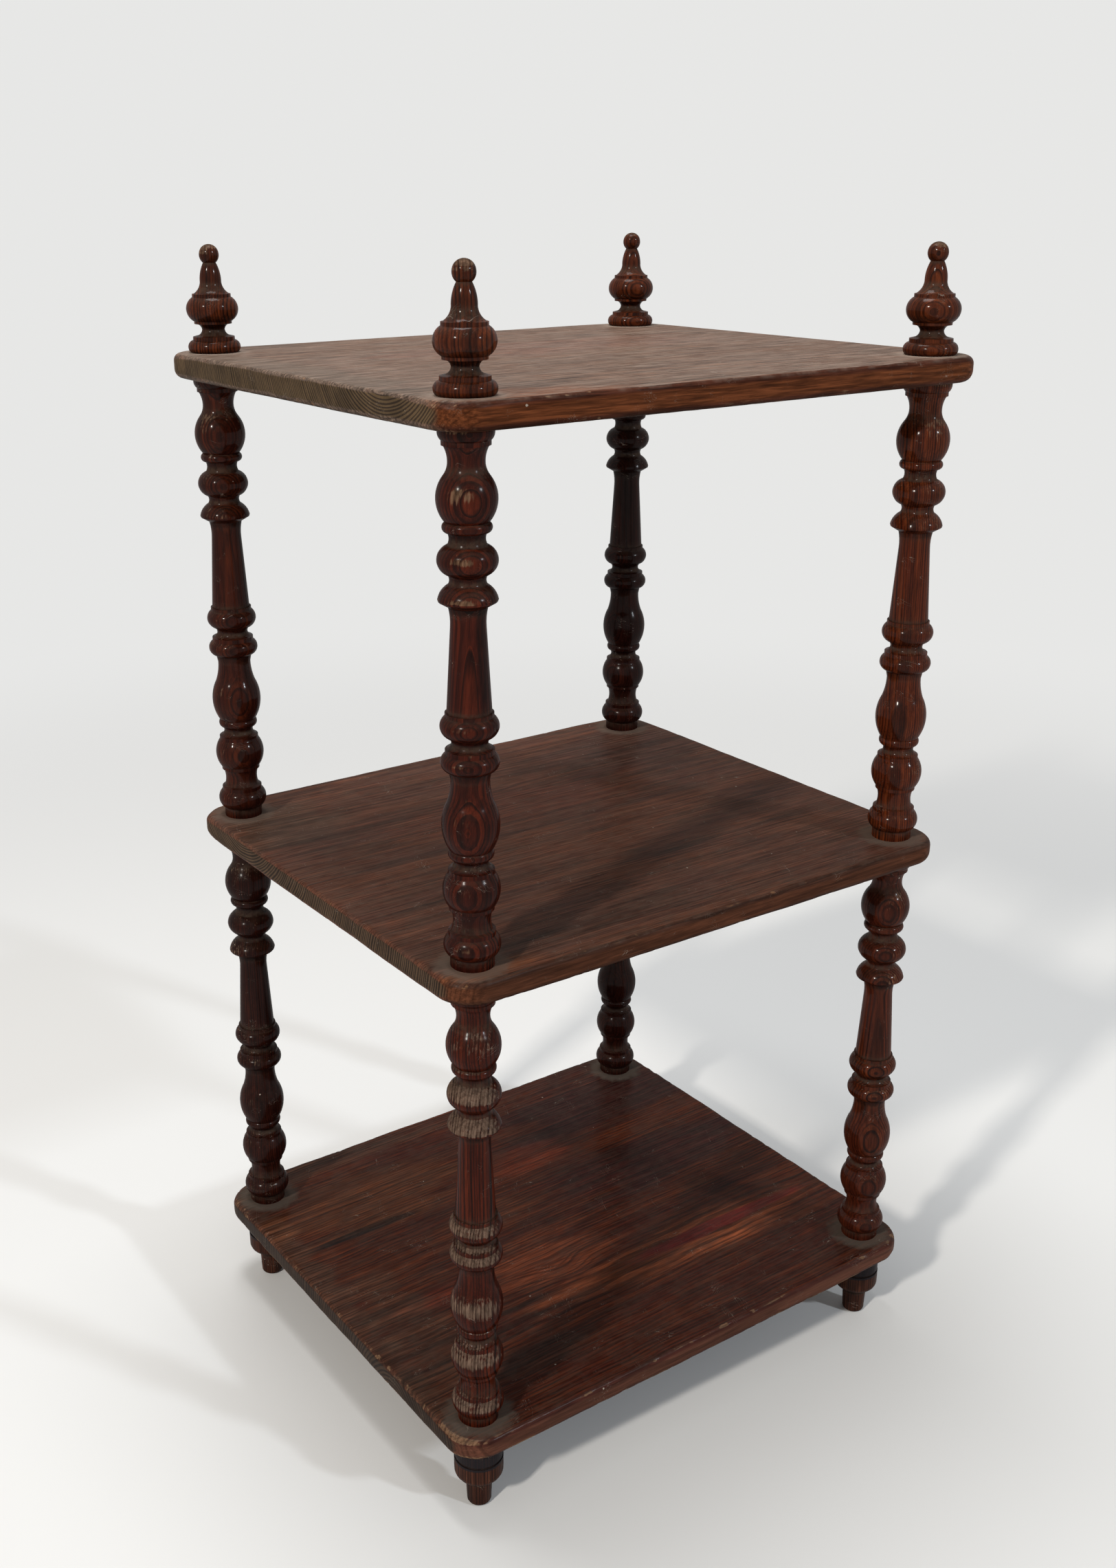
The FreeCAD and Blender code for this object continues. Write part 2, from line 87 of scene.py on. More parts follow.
def bearing(angle: float, length: float) -> tuple[float, float]:
    """Step across the floor.

    Args:
        angle: Degrees from +X, turning towards +Y.
        length: Length of the step.

    Returns:
        Its parts along X and Y.
    """
    turn = math.radians(angle)
    return (length * math.cos(turn), length * math.sin(turn))


class Value:
    """Number, vector or colour in a shader, which adds a node whenever it is reckoned with."""

    def __init__(self, graph: "Graph", socket: bpy.types.NodeSocket) -> None:
        """Keep the graph that new nodes go to and the output socket that carries the value."""
        self.graph, self.socket = graph, socket

    def __add__(self, other: object) -> "Value":
        """Sum."""
        return self.graph.work("ADD", self, other)

    def __sub__(self, other: object) -> "Value":
        """Difference."""
        return self.graph.work("SUBTRACT", self, other)

    def __mul__(self, other: object) -> "Value":
        """Product, axis by axis for vectors."""
        return self.graph.work("MULTIPLY", self, other)

    def __truediv__(self, other: object) -> "Value":
        """Quotient, axis by axis for vectors."""
        return self.graph.work("DIVIDE", self, other)

    def __pow__(self, power: float) -> "Value":
        """Power of a number."""
        return self.graph.work("POWER", self, power)

    def __or__(self, other: object) -> "Value":
        """The larger of two numbers, which joins two masks."""
        return self.graph.work("MAXIMUM", self, other)

    def __abs__(self) -> "Value":
        """The same without its sign."""
        return self.graph.work("ABSOLUTE", self)

    def length(self) -> "Value":
        """Length of a vector."""
        return self.graph.work("LENGTH", self)

    def parts(self) -> list["Value"]:
        """The three parts of a vector."""
        return [Value(self.graph, socket) for socket in self.graph.add("SeparateXYZ", self).outputs]

    def step(self, low: object, high: object, start: float = 0.0, end: float = 1.0) -> "Value":
        """Number that steps smoothly from start at a low level to end at a high one."""
        node = self.graph.add("MapRange", self, low, high, start, end, interpolation_type="SMOOTHSTEP")
        return self.graph.take(node)


class Graph:
    """Nodes of one shader."""

    NUMBERS_OF_VECTORS = ("LENGTH", "DOT_PRODUCT")
    MIX_SHARE, MIX_FIRST, MIX_SECOND, MIX_COLOUR = 0, 6, 7, 2

    def __init__(self, tree: bpy.types.NodeTree) -> None:
        """Empty the tree of a material, a world or a node group."""
        self.tree = tree
        self.tree.nodes.clear()

    def fill(self, node: bpy.types.Node, values: dict[int | str, object]) -> bpy.types.Node:
        """Link or set inputs of a node.

        Args:
            node: The node.
            values: Values, numbers, vectors and colours by the place or name of the input.

        Returns:
            The same node.
        """
        for key, value in values.items():
            target = node.inputs[key]
            if isinstance(value, Value):
                self.tree.links.new(value.socket, target)
            elif target.type == "VECTOR" and isinstance(value, float):
                target.default_value = (value,) * 3
            elif target.type == "RGBA":
                target.default_value = (*value, 1.0)
            else:
                target.default_value = value
        return node

    def add(self, kind: str, *links: object, **settings: object) -> bpy.types.Node:
        """Add a node.

        Args:
            kind: Node type without the ShaderNode prefix.
            links: Values for the inputs, in order.
            settings: Properties of the node.

        Returns:
            The new node.
        """
        node = self.tree.nodes.new(f"ShaderNode{kind}")
        for name, value in settings.items():
            setattr(node, name, value)
        return self.fill(node, dict(enumerate(links)))

    def take(self, node: bpy.types.Node, output: int | str = 0) -> Value:
        """Output of a node, by place or name."""
        return Value(self, node.outputs[output])

    def has_parts(self, value: object) -> bool:
        """Whether something is a vector or a colour."""
        plain = not isinstance(value, Value)
        return isinstance(value, (tuple, Vector)) if plain else value.socket.type != "VALUE"

    def work(self, operation: str, *values: object, clamp: bool = False) -> Value:
        """Value worked out from others.

        Args:
            operation: Operation of a math node, or of a vector math node where any of the values is a vector.
            values: Values, numbers and vectors.
            clamp: Whether a number is kept between nothing and one.

        Returns:
            The result.
        """
        if any(self.has_parts(value) for value in values):
            node = self.add("VectorMath", *values, operation=operation)
        else:
            node = self.add("Math", *values, operation=operation, use_clamp=clamp)
        return self.take(node, -1 if operation in self.NUMBERS_OF_VECTORS else 0)

    def turn(self, place: Value, angles: tuple[float, float, float]) -> Value:
        """Position turned about the three axes, in radians."""
        node = self.add("VectorRotate", place, rotation_type="EULER_XYZ")
        return self.take(self.fill(node, {"Rotation": angles}))

    def table(self, value: Value, stops: Sequence[tuple[float, float]]) -> Value:
        """Number that follows a table.

        Args:
            value: Number to look up.
            stops: Levels and results, in rising order.

        Returns:
            Result between the two nearest stops.
        """
        low, high = stops[0][0], stops[-1][0]
        table = self.add("ValToRGB", self.take(self.add("MapRange", value, low, high, 0.0, 1.0)))
        elements = table.color_ramp.elements
        elements.remove(elements[-1])
        for place, (level, result) in enumerate(stops):
            entry = elements.new((level - low) / (high - low)) if place else elements[0]
            entry.color = (result,) * 4
        return self.take(table, "Alpha")

    def cloud(self, place: Value, stretch: object, detail: float = 2.0, rough: float = 0.5,
              shift: object = None, output: str = "Fac") -> Value:
        """Cloud noise.

        Args:
            place: Position in metres.
            stretch: Clouds to the metre, along each axis or along all of them.
            detail: Number of finer layers.
            rough: Weight of the finer layers.
            shift: Number that moves the noise to another place.
            output: Fac for a number, Color for three.

        Returns:
            The noise.
        """
        moved = place if shift is None else place + shift
        node = self.add("TexNoise", moved * stretch)
        return self.take(self.fill(node, {"Scale": 1.0, "Detail": detail, "Roughness": rough}), output)

    def blend(self, share: object, first: object, second: object, mode: str = "MIX") -> Value:
        """Colour between two others.

        Args:
            share: Share of the second colour.
            first: First colour.
            second: Second colour.
            mode: Blend mode of the mix node.

        Returns:
            Mixed colour.
        """
        node = self.add("Mix", data_type="RGBA", blend_type=mode)
        self.fill(node, {self.MIX_SHARE: share, self.MIX_FIRST: first, self.MIX_SECOND: second})
        return self.take(node, self.MIX_COLOUR)

    def shaded(self, colour: object, level: Value) -> Value:
        """Colour made lighter or darker by a number."""
        return self.blend(1.0, colour, level, "MULTIPLY")

    def place(self, effect: bpy.types.NodeTree, **values: object) -> dict[str, Value]:
        """Place a node group.

        Args:
            effect: The group.
            values: Inputs by name, with underscores for spaces.

        Returns:
            Outputs by name.
        """
        node = self.tree.nodes.new("ShaderNodeGroup")
        node.node_tree = effect
        self.fill(node, {name.replace("_", " ").capitalize(): value for name, value in values.items()})
        return {socket.name: Value(self, socket) for socket in node.outputs}


class Effect(Graph):
    """Shader node group with named inputs and outputs, built once and placed in many materials."""

    VECTORS = ("Place", "Pith", "Knot", "Normal")

    def __init__(self, name: str, inputs: str, outputs: str) -> None:
        """Open a new group.

        Args:
            name: Name of the group.
            inputs: Names of the inputs, with commas between them.
            outputs: Names of the outputs.
        """
        super().__init__(bpy.data.node_groups.new(name, "ShaderNodeTree"))
        for titles, way in ((inputs, "INPUT"), (outputs, "OUTPUT")):
            for title in titles.split(", "):
                kind = "Vector" if title in self.VECTORS else "Color" if title.endswith("olour") else "Float"
                self.tree.interface.new_socket(title, in_out=way, socket_type=f"NodeSocket{kind}")
        self.source = self.tree.nodes.new("NodeGroupInput")
        self.sink = self.tree.nodes.new("NodeGroupOutput")

    def __getitem__(self, name: str) -> Value:
        """Input of the group, by name."""
        return self.take(self.source, name)

    def __setitem__(self, name: str, value: Value) -> None:
        """Connect an output of the group, by name."""
        self.fill(self.sink, {name: value})


def growth_rings() -> bpy.types.NodeTree:
    """Yearly rings of a trunk, shown wherever the surface cuts them.

    Returns:
        Group that gives how much late wood shows and a tone of each ring's own.
    """
    group = Effect("growth_rings", "Place, Pith, Width, Wander, Seed, Ripple, Knot, Swell", "Late, Tone")
    place, seed, wander = group["Place"], group["Seed"], group["Wander"]
    strays = (
        ((9.0, 9.0, 3.0), 1.0, 0.5, wander),
        ((42.0, 42.0, 9.0), 1.0, 0.5, wander * 0.2),
        ((330.0, 330.0, 42.0), 2.0, 0.6, wander * 0.035),
        ((26.0, 26.0, 19.0), 1.0, 0.5, group["Ripple"]),
    )
    bent = place
    for stretch, detail, rough, reach in strays:
        bent += (group.cloud(place, stretch, detail, rough, seed, "Color") - 0.5) * reach
    knot_reach = 14.0 * MM
    aside = ((place - group["Knot"]) * (1.0, 1.0, 0.55)).length() / knot_reach
    bulge = group.work("EXPONENT", aside ** 2.0 * -1.0)
    radius = ((bent - group["Pith"]) * FLAT).length() + bulge * group["Swell"]
    along_radius = group.take(group.add("CombineXYZ", radius, seed * 0.37, 0.0))
    years_astray = 2.4
    uneven = group.cloud(along_radius, (85.0, 1.0, 1.0), 1.0)
    count = radius / group["Width"] + uneven * years_astray
    part, year = group.work("FRACT", count), group.work("FLOOR", count)
    lots = group.add("TexWhiteNoise", noise_dimensions="1D")
    tone = group.take(group.fill(lots, {"W": year + seed}), "Value")
    early_end, late_grows = tone * 0.3 + 0.28, 0.34
    rise, fall = part.step(early_end, early_end + late_grows), part.step(0.9, 1.0, 1.0, 0.0)
    strength = group.work("FRACT", tone * 7.0) * 0.55 + 0.45
    group["Late"] = rise * fall * strength
    group["Tone"] = tone
    return group.tree


def long_fibres() -> bpy.types.NodeTree:
    """Fibres, streaks of stain and cloudy patches, all but the last drawn out along the grain.

    Returns:
        Group that gives fine fibres, hairlines, broad streaks and clouds.
    """
    group = Effect("long_fibres", "Place, Seed", "Fine, Hair, Broad, Cloud")
    layers = {
        "Fine": ((1700.0, 1700.0, 60.0), 2.0, 0.6),
        "Hair": ((420.0, 420.0, 13.0), 3.0, 0.62),
        "Broad": ((62.0, 62.0, 3.4), 3.0, 0.55),
        "Cloud": ((22.0, 22.0, 8.0), 4.0, 0.62),
    }
    for name, (stretch, detail, rough) in layers.items():
        group[name] = group.cloud(group["Place"], stretch, detail, rough, group["Seed"])
    return group.tree


def rubbed_finish() -> bpy.types.NodeTree:
    """Finish rubbed off where a mask says that hands and cloths reach, ragged and broken along the grain.

    Returns:
        Group that turns a soft mask into a ragged one.
    """
    group = Effect("rubbed_finish", "Mask, Place, Late, Seed", "Worn")
    place, seed, mask = group["Place"], group["Seed"], group["Mask"]
    blots = group.cloud(place, (120.0, 120.0, 52.0), 4.0, 0.65, seed)
    streaks = group.cloud(place, (760.0, 760.0, 34.0), 2.0, 0.6, seed)
    reach = blots * 1.1 + streaks * 0.9 - 1.0 + mask - group["Late"] * 0.22
    group["Worn"] = reach.step(0.38, 0.72) * mask.step(0.0, 0.12)
    return group.tree


def settled_dust() -> bpy.types.NodeTree:
    """Dust and dull wax that settle on what faces up.

    Returns:
        Group that gives the mask of the dust.
    """
    group = Effect("settled_dust", "Normal, Place, Amount, Seed", "Dust")
    upward = group["Normal"].parts()[2]
    patch = group.cloud(group["Place"], 70.0, 4.0, 0.65, group["Seed"])
    group["Dust"] = upward.step(0.1, 0.75) * patch.step(0.4, 0.68, 0.12, 1.0) * group["Amount"]
    return group.tree


def paint_specks() -> bpy.types.NodeTree:
    """Tiny pale specks of old paint and scuffs, scattered thinly.

    Returns:
        Group that gives the mask of the specks.
    """
    group = Effect("paint_specks", "Place, Pitch, Share", "Speck")
    place, out_of_round = group["Place"], 0.12
    wobble = group.cloud(place, 700.0, 1.0, output="Color")
    cells = group.add("TexVoronoi", place / group["Pitch"] + wobble * out_of_round, feature="F1")
    group.fill(cells, {"Scale": 1.0})
    chance, breadth, _ = group.take(cells, "Color").parts()
    smallest, spread = 0.045, 0.1
    reach = breadth ** 3.0 * spread + smallest
    near = group.work("SUBTRACT", 1.0, group.take(cells, "Distance") / reach, clamp=True)
    group["Speck"] = near.step(0.0, 0.4) * group.work("LESS_THAN", chance, group["Share"])
    return group.tree


def fine_scratches() -> bpy.types.NodeTree:
    """Thin short scratches in a few directions.

    Returns:
        Group that gives the mask of the scratches.
    """
    group = Effect("fine_scratches", "Place, Seed", "Scratch")
    directions = (((0.2, 0.1, 0.35), 1.3), ((-0.3, 0.2, 1.25), 4.1), ((0.1, -0.5, 2.2), 7.7))
    marks = []
    for angles, shift in directions:
        turned, apart = group.turn(group["Place"], angles), group["Seed"] + shift
        line = group.cloud(turned, (520.0, 24.0, 520.0), 0.0, shift=apart)
        rare = group.cloud(turned, (75.0, 28.0, 75.0), 1.0, shift=apart)
        marks.append(abs(line - 0.5).step(0.0, 0.016, 1.0, 0.0) * rare.step(0.66, 0.74))
    group["Scratch"] = marks[0] | marks[1] | marks[2]
    return group.tree


def stained_wood() -> bpy.types.NodeTree:
    """Colour of stained softwood from its rings, fibres and streaks.

    Returns:
        Group that gives the colour.
    """
    group = Effect("stained_wood", "Late, Tone, Fine, Hair, Broad, Cloud, Early colour, Late colour, "
                   "Warm colour, Deep colour, Streaks, Figure", "Colour")
    cloud = group["Cloud"]
    warm = (group["Tone"] * 0.24 + cloud).step(0.45, 0.85)
    colour = group.blend(warm, group["Early colour"], group["Warm colour"])
    shown = group["Late"] * group["Figure"] * cloud.step(0.3, 0.6, 0.6, 1.0)
    colour = group.blend(shown, colour, group["Late colour"])
    colour = group.blend(group["Broad"].step(0.5, 0.68) * group["Streaks"], colour, group["Deep colour"])
    grain = group["Fine"] * 0.5 + group["Hair"] * 0.75
    group["Colour"] = group.shaded(colour, grain.step(0.45, 0.8, 0.6, 1.38))
    return group.tree


def weathered_surface() -> bpy.types.NodeTree:
    """Painted shade with some dirt, bare wood, dust and specks laid over the stained wood in that order.

    Returns:
        Group that gives the colour, how dull the surface is and the height of its relief.
    """
    group = Effect("weathered_surface", "Colour, Late, Fine, Hair, Grime, Worn, Dust, Speck, Scratch, Kept, "
                   "Grime colour, Bare colour, Dust colour", "Colour, Dull, Height")
    names = ("Late", "Fine", "Hair", "Grime", "Worn", "Dust", "Speck", "Scratch")
    late, fine, hair, grime, worn, dust, speck, scratch = (group[name] for name in names)
    old_paint = (0.34, 0.28, 0.23)
    # Painted shade in hollows and underneath, with some dirt.
    colour = group.blend(grime, group["Colour"], group["Grime colour"])
    strands = (fine * 0.25 + hair * 0.75).step(0.38, 0.62, 0.46, 1.2)
    bare = group.blend(late * group["Kept"], group.shaded(group["Bare colour"], strands), group["Colour"])
    colour = group.blend(worn * 0.82, colour, bare)
    colour = group.blend(dust * 0.8, colour, group["Dust colour"])
    group["Colour"] = group.blend(speck | scratch * 0.45, colour, old_paint)
    group["Dull"] = worn | dust | grime * 0.5
    ridges, threads = late * (worn * 0.75 + 0.14), fine * (worn * 0.45 + 0.1)
    group["Height"] = ridges + threads + hair * 0.12 - worn * 0.3 - scratch * 0.3 + speck * 0.3
    return group.tree


@dataclass
class Effects:
    """The node groups that the materials share."""

    rings: bpy.types.NodeTree = field(default_factory=growth_rings)
    fibres: bpy.types.NodeTree = field(default_factory=long_fibres)
    rubbed: bpy.types.NodeTree = field(default_factory=rubbed_finish)
    dust: bpy.types.NodeTree = field(default_factory=settled_dust)
    specks: bpy.types.NodeTree = field(default_factory=paint_specks)
    scratches: bpy.types.NodeTree = field(default_factory=fine_scratches)
    stained: bpy.types.NodeTree = field(default_factory=stained_wood)
    weathered: bpy.types.NodeTree = field(default_factory=weathered_surface)


@dataclass(frozen=True)
class Timber:
    """How one piece was cut from the tree.

    Attributes:
        pith: Place of the trunk's centre from the piece's own axis, across the grain.
        lean: Tilt of the grain, in radians about each axis across it.
        ring: Width of a year's growth.
        seed: Number that makes this piece's figure its own.
        wander: How far the rings stray from true circles.
        ripple: How strong their short waves along the grain are.
        knot: Place of a knot that the rings swell round, in the frame of the grain.
        swell: How far they swell.
    """

    pith: tuple[float, float]
    lean: tuple[float, float]
    ring: float
    seed: float
    wander: float = 8.0 * MM
    ripple: float = 1.0 * MM
    knot: tuple[float, float, float] = (1.0, 1.0, 1.0)
    swell: float = 0.0


@dataclass(frozen=True)
class Varnish:
    """Colours and gloss of one finish.

    Attributes:
        early: Colour of the early wood under the stain.
        late: Colour of the late wood.
        warm: Colour that some rings and clouds lean to.
        deep: Colour of broad dark streaks.
        grime: Colour of painted shade in hollows and undersides, with some dirt.
        bare: Colour of rubbed places.
        dust: Colour of dust.
        streaks: How strong the dark streaks are.
        figure: How strongly the late wood shows.
        rough: Roughness where the finish is whole.
        coat: Weight of the clear coat where it is whole.
        coat_rough: Roughness of the clear coat.
        dusty: How much dust lies on it.
    """

    early: Colour
    late: Colour
    warm: Colour
    deep: Colour
    grime: Colour
    bare: Colour
    dust: Colour
    streaks: float = 0.6
    figure: float = 0.85
    rough: float = 0.45
    coat: float = 0.15
    coat_rough: float = 0.17
    dusty: float = 0.4


TURNED = Varnish(early=stain(42, 13, 7), late=stain(18, 6, 4), warm=stain(62, 23, 11), deep=stain(18, 7, 5),
                 grime=stain(11, 7, 6), bare=stain(120, 100, 84), dust=stain(70, 57, 48))
GLOSSY = replace(TURNED, early=stain(43, 14, 7), late=stain(19, 7, 5), warm=stain(68, 27, 12),
                 bare=stain(110, 88, 71), dusty=0.25, coat=0.17, coat_rough=0.12)
AMBER = replace(GLOSSY, early=stain(70, 28, 13), late=stain(22, 8, 6), warm=stain(92, 42, 19), figure=0.95)
RUSSET = replace(AMBER, early=stain(60, 23, 12), warm=stain(80, 35, 17))
CAP = replace(GLOSSY, early=stain(66, 28, 13), late=stain(17, 7, 5), warm=stain(86, 39, 17), figure=1.0)
DARK = replace(TURNED, early=stain(32, 11, 7), late=stain(15, 6, 4), warm=stain(46, 17, 10), dusty=0.25)
EYED = replace(TURNED, early=stain(44, 14, 8), late=stain(14, 5, 4), warm=stain(70, 25, 12),
               bare=stain(106, 82, 64), figure=1.0)
SUNNED = replace(TURNED, early=stain(54, 17, 8), late=stain(13, 5, 4), warm=stain(72, 26, 11),
                 bare=stain(110, 92, 79), figure=1.0, streaks=0.2)
FOOT = replace(TURNED, early=stain(56, 30, 21), late=stain(19, 10, 8), warm=stain(68, 38, 26), dusty=0.25)
# Its grey-brown colours hold some painted sheen of the glancing top, and its pale dust colour also paints the
# sheen on the driest fibres.
TOP_BOARD = Varnish(early=stain(98, 77, 65), late=stain(52, 38, 32), warm=stain(104, 78, 64),
                    deep=stain(70, 54, 46), grime=stain(36, 27, 22), bare=stain(128, 100, 78),
                    dust=stain(150, 134, 122), streaks=0.6, figure=0.8, rough=0.52, coat=0.05,
                    coat_rough=0.3, dusty=0.2)
MIDDLE_BOARD = Varnish(early=stain(86, 54, 43), late=stain(42, 26, 21), warm=stain(98, 60, 44),
                       deep=stain(48, 33, 29), grime=stain(26, 19, 16), bare=stain(114, 82, 58),
                       dust=stain(106, 92, 82), streaks=0.5, figure=0.65, rough=0.52, coat=0.05,
                       coat_rough=0.3, dusty=0.25)
# Its colours are set somewhat darker, towards its look in shade: partly painted shade.
BOTTOM_BOARD = Varnish(early=stain(63, 26, 17), late=stain(19, 8, 7), warm=stain(84, 39, 21),
                       deep=stain(26, 12, 10), grime=stain(20, 14, 13), bare=stain(122, 94, 72),
                       dust=stain(88, 80, 72), streaks=0.3, figure=0.72, rough=0.46, coat=0.1,
                       coat_rough=0.22, dusty=0.2)


@dataclass
class Skin:
    """What a shader knows at each point of a piece.

    Attributes:
        graph: Graph of the material.
        where: Position in the frame.
        normal: Normal of the surface.
        wood: Position in the frame of the grain.
        late: How much late wood shows.
    """

    graph: Graph
    where: Value
    normal: Value
    wood: Value
    late: Value


@dataclass
class WoodenPiece:
    """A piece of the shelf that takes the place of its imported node.

    Attributes:
        node: Name of the node in the frame.
        timber: How it was cut.
        finish: Its varnish.
        slot: Material slot of the record.
        kept: How much of the late wood keeps its stain where the rest is rubbed bare.
    """

    node: str
    timber: Timber
    # slot: Material slot of the record; not used.
    finish: Varnish
    slot: str = ""
    kept: float = 0.75

    def grain_place(self, where: Value) -> Value:
        """Position with the grain as third axis, from a position in the frame."""
        raise NotImplementedError

    def masks(self, skin: Skin) -> dict[str, Value]:
        """Soft masks named rubbed, grime (mostly painted shade) and dust, of where this kind of piece is so.
        """
        raise NotImplementedError

    def tint(self, skin: Skin, colour: Value) -> Value:
        """Change of colour that only this kind of piece has."""
        return colour

    def material(self, effects: Effects) -> bpy.types.Material:
        """Stained and varnished wood, worn as this piece is.

        Args:
            effects: Shared node groups.

        Returns:
            The material.
        """
        material = bpy.data.materials.new(f"{self.node}_wood")
        material.use_nodes = True
        graph = Graph(material.node_tree)
        finish, timber, seed = self.finish, self.timber, self.timber.seed
        where = graph.take(graph.add("TexCoord"), "Object")
        normal = graph.take(graph.add("NewGeometry"), "Normal")
        wood = self.grain_place(where)
        rings = graph.place(effects.rings, place=wood, pith=(*timber.pith, 0.0), width=timber.ring,
                            wander=timber.wander, ripple=timber.ripple, seed=seed, knot=timber.knot,
                            swell=timber.swell)
        fibres = graph.place(effects.fibres, place=wood, seed=seed)
        stained = graph.place(effects.stained, **rings, **fibres, early_colour=finish.early,
                              late_colour=finish.late, warm_colour=finish.warm, deep_colour=finish.deep,
                              streaks=finish.streaks, figure=finish.figure)
        late, cloud = rings["Late"], fibres["Cloud"]
        skin = Skin(graph, where, normal, wood, late)
        masks = self.masks(skin)
        worn = graph.place(effects.rubbed, mask=masks["rubbed"], place=wood, late=late, seed=seed)["Worn"]
        dust = graph.place(effects.dust, normal=normal, place=where, amount=finish.dusty, seed=seed)["Dust"]
        pitch, share, relief_height = 8.0 * MM, 0.05, 0.3 * MM
        speck = graph.place(effects.specks, place=where, pitch=pitch, share=share)["Speck"]
        scratch = graph.place(effects.scratches, place=where, seed=seed)["Scratch"]
        # Painted shade in hollows and underneath, with some dirt, is laid on with the wear, dust and specks.
        surface = graph.place(effects.weathered, colour=self.tint(skin, stained["Colour"]), late=late,
                              fine=fibres["Fine"], hair=fibres["Hair"],
                              grime=masks["grime"] * cloud.step(0.3, 0.7, 0.5, 1.0), worn=worn,
                              dust=dust | masks["dust"], speck=speck, scratch=scratch, kept=self.kept,
                              grime_colour=finish.grime, bare_colour=finish.bare, dust_colour=finish.dust)
        dull = surface["Dull"]
        smear = cloud.step(0.25, 0.75, -0.08, 0.08)
        relief = graph.fill(graph.add("Bump"), {"Strength": 0.7, "Distance": relief_height,
                                                "Height": surface["Height"]})
        shader = graph.fill(graph.add("BsdfPrincipled"), {
            "Base Color": surface["Colour"],
            "Roughness": graph.work("ADD", dull * 0.3 + finish.rough, smear, clamp=True),
            "Coat Weight": graph.work("SUBTRACT", 1.0, dull, clamp=True) * finish.coat,
            "Coat Roughness": finish.coat_rough,
            "Specular IOR Level": 0.01,
            "Normal": graph.take(relief),
        })
        graph.add("OutputMaterial", graph.take(shader))
        return material

    def shape(self) -> bpy.types.Mesh:
        """Mesh of the piece with its wear."""
        raise NotImplementedError

    def build(self, effects: Effects) -> bpy.types.Object:
        """Make the piece and put it in the node's place.

        Args:
            effects: Shared node groups.

        Returns:
            The new object.
        """
        mesh = self.shape()
        mesh.materials.append(self.material(effects))
        piece = bpy.data.objects.new(f"{self.node}_dressed", mesh)
        bpy.context.scene.collection.objects.link(piece)
        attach(piece, ROOT)
        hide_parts(self.node)
        LOG.info("%s: %d points", piece.name, len(mesh.vertices))
        return piece


def closed_mesh(name: str, shape: bmesh.types.BMesh, sharp: float) -> bpy.types.Mesh:
    """Mesh with smooth faces and sharp corners.

    Args:
        name: Name of the mesh.
        shape: Its points and faces, freed here.
        sharp: Angle from which an edge is sharp, in degrees.

    Returns:
        The mesh.
    """
    bmesh.ops.recalc_face_normals(shape, faces=shape.faces)
    mesh = bpy.data.meshes.new(name)
    shape.to_mesh(mesh)
    shape.free()
    mesh.polygons.foreach_set("use_smooth", [True] * len(mesh.polygons))
    mesh.set_sharp_from_angle(angle=math.radians(sharp))
    return mesh


def bridge(shape: bmesh.types.BMesh, first: Loop, second: Loop) -> None:
    """Close the gap between two rings of points, or between a ring and a tip.

    Args:
        shape: What the faces are added to.
        first: The one ring.
        second: The other ring, or the one point of a tip.
    """
    for side, point in enumerate(first):
        after = (side + 1) % len(first)
        rest = second if len(second) == 1 else (second[after], second[side])
        shape.faces.new((point, first[after], *rest))


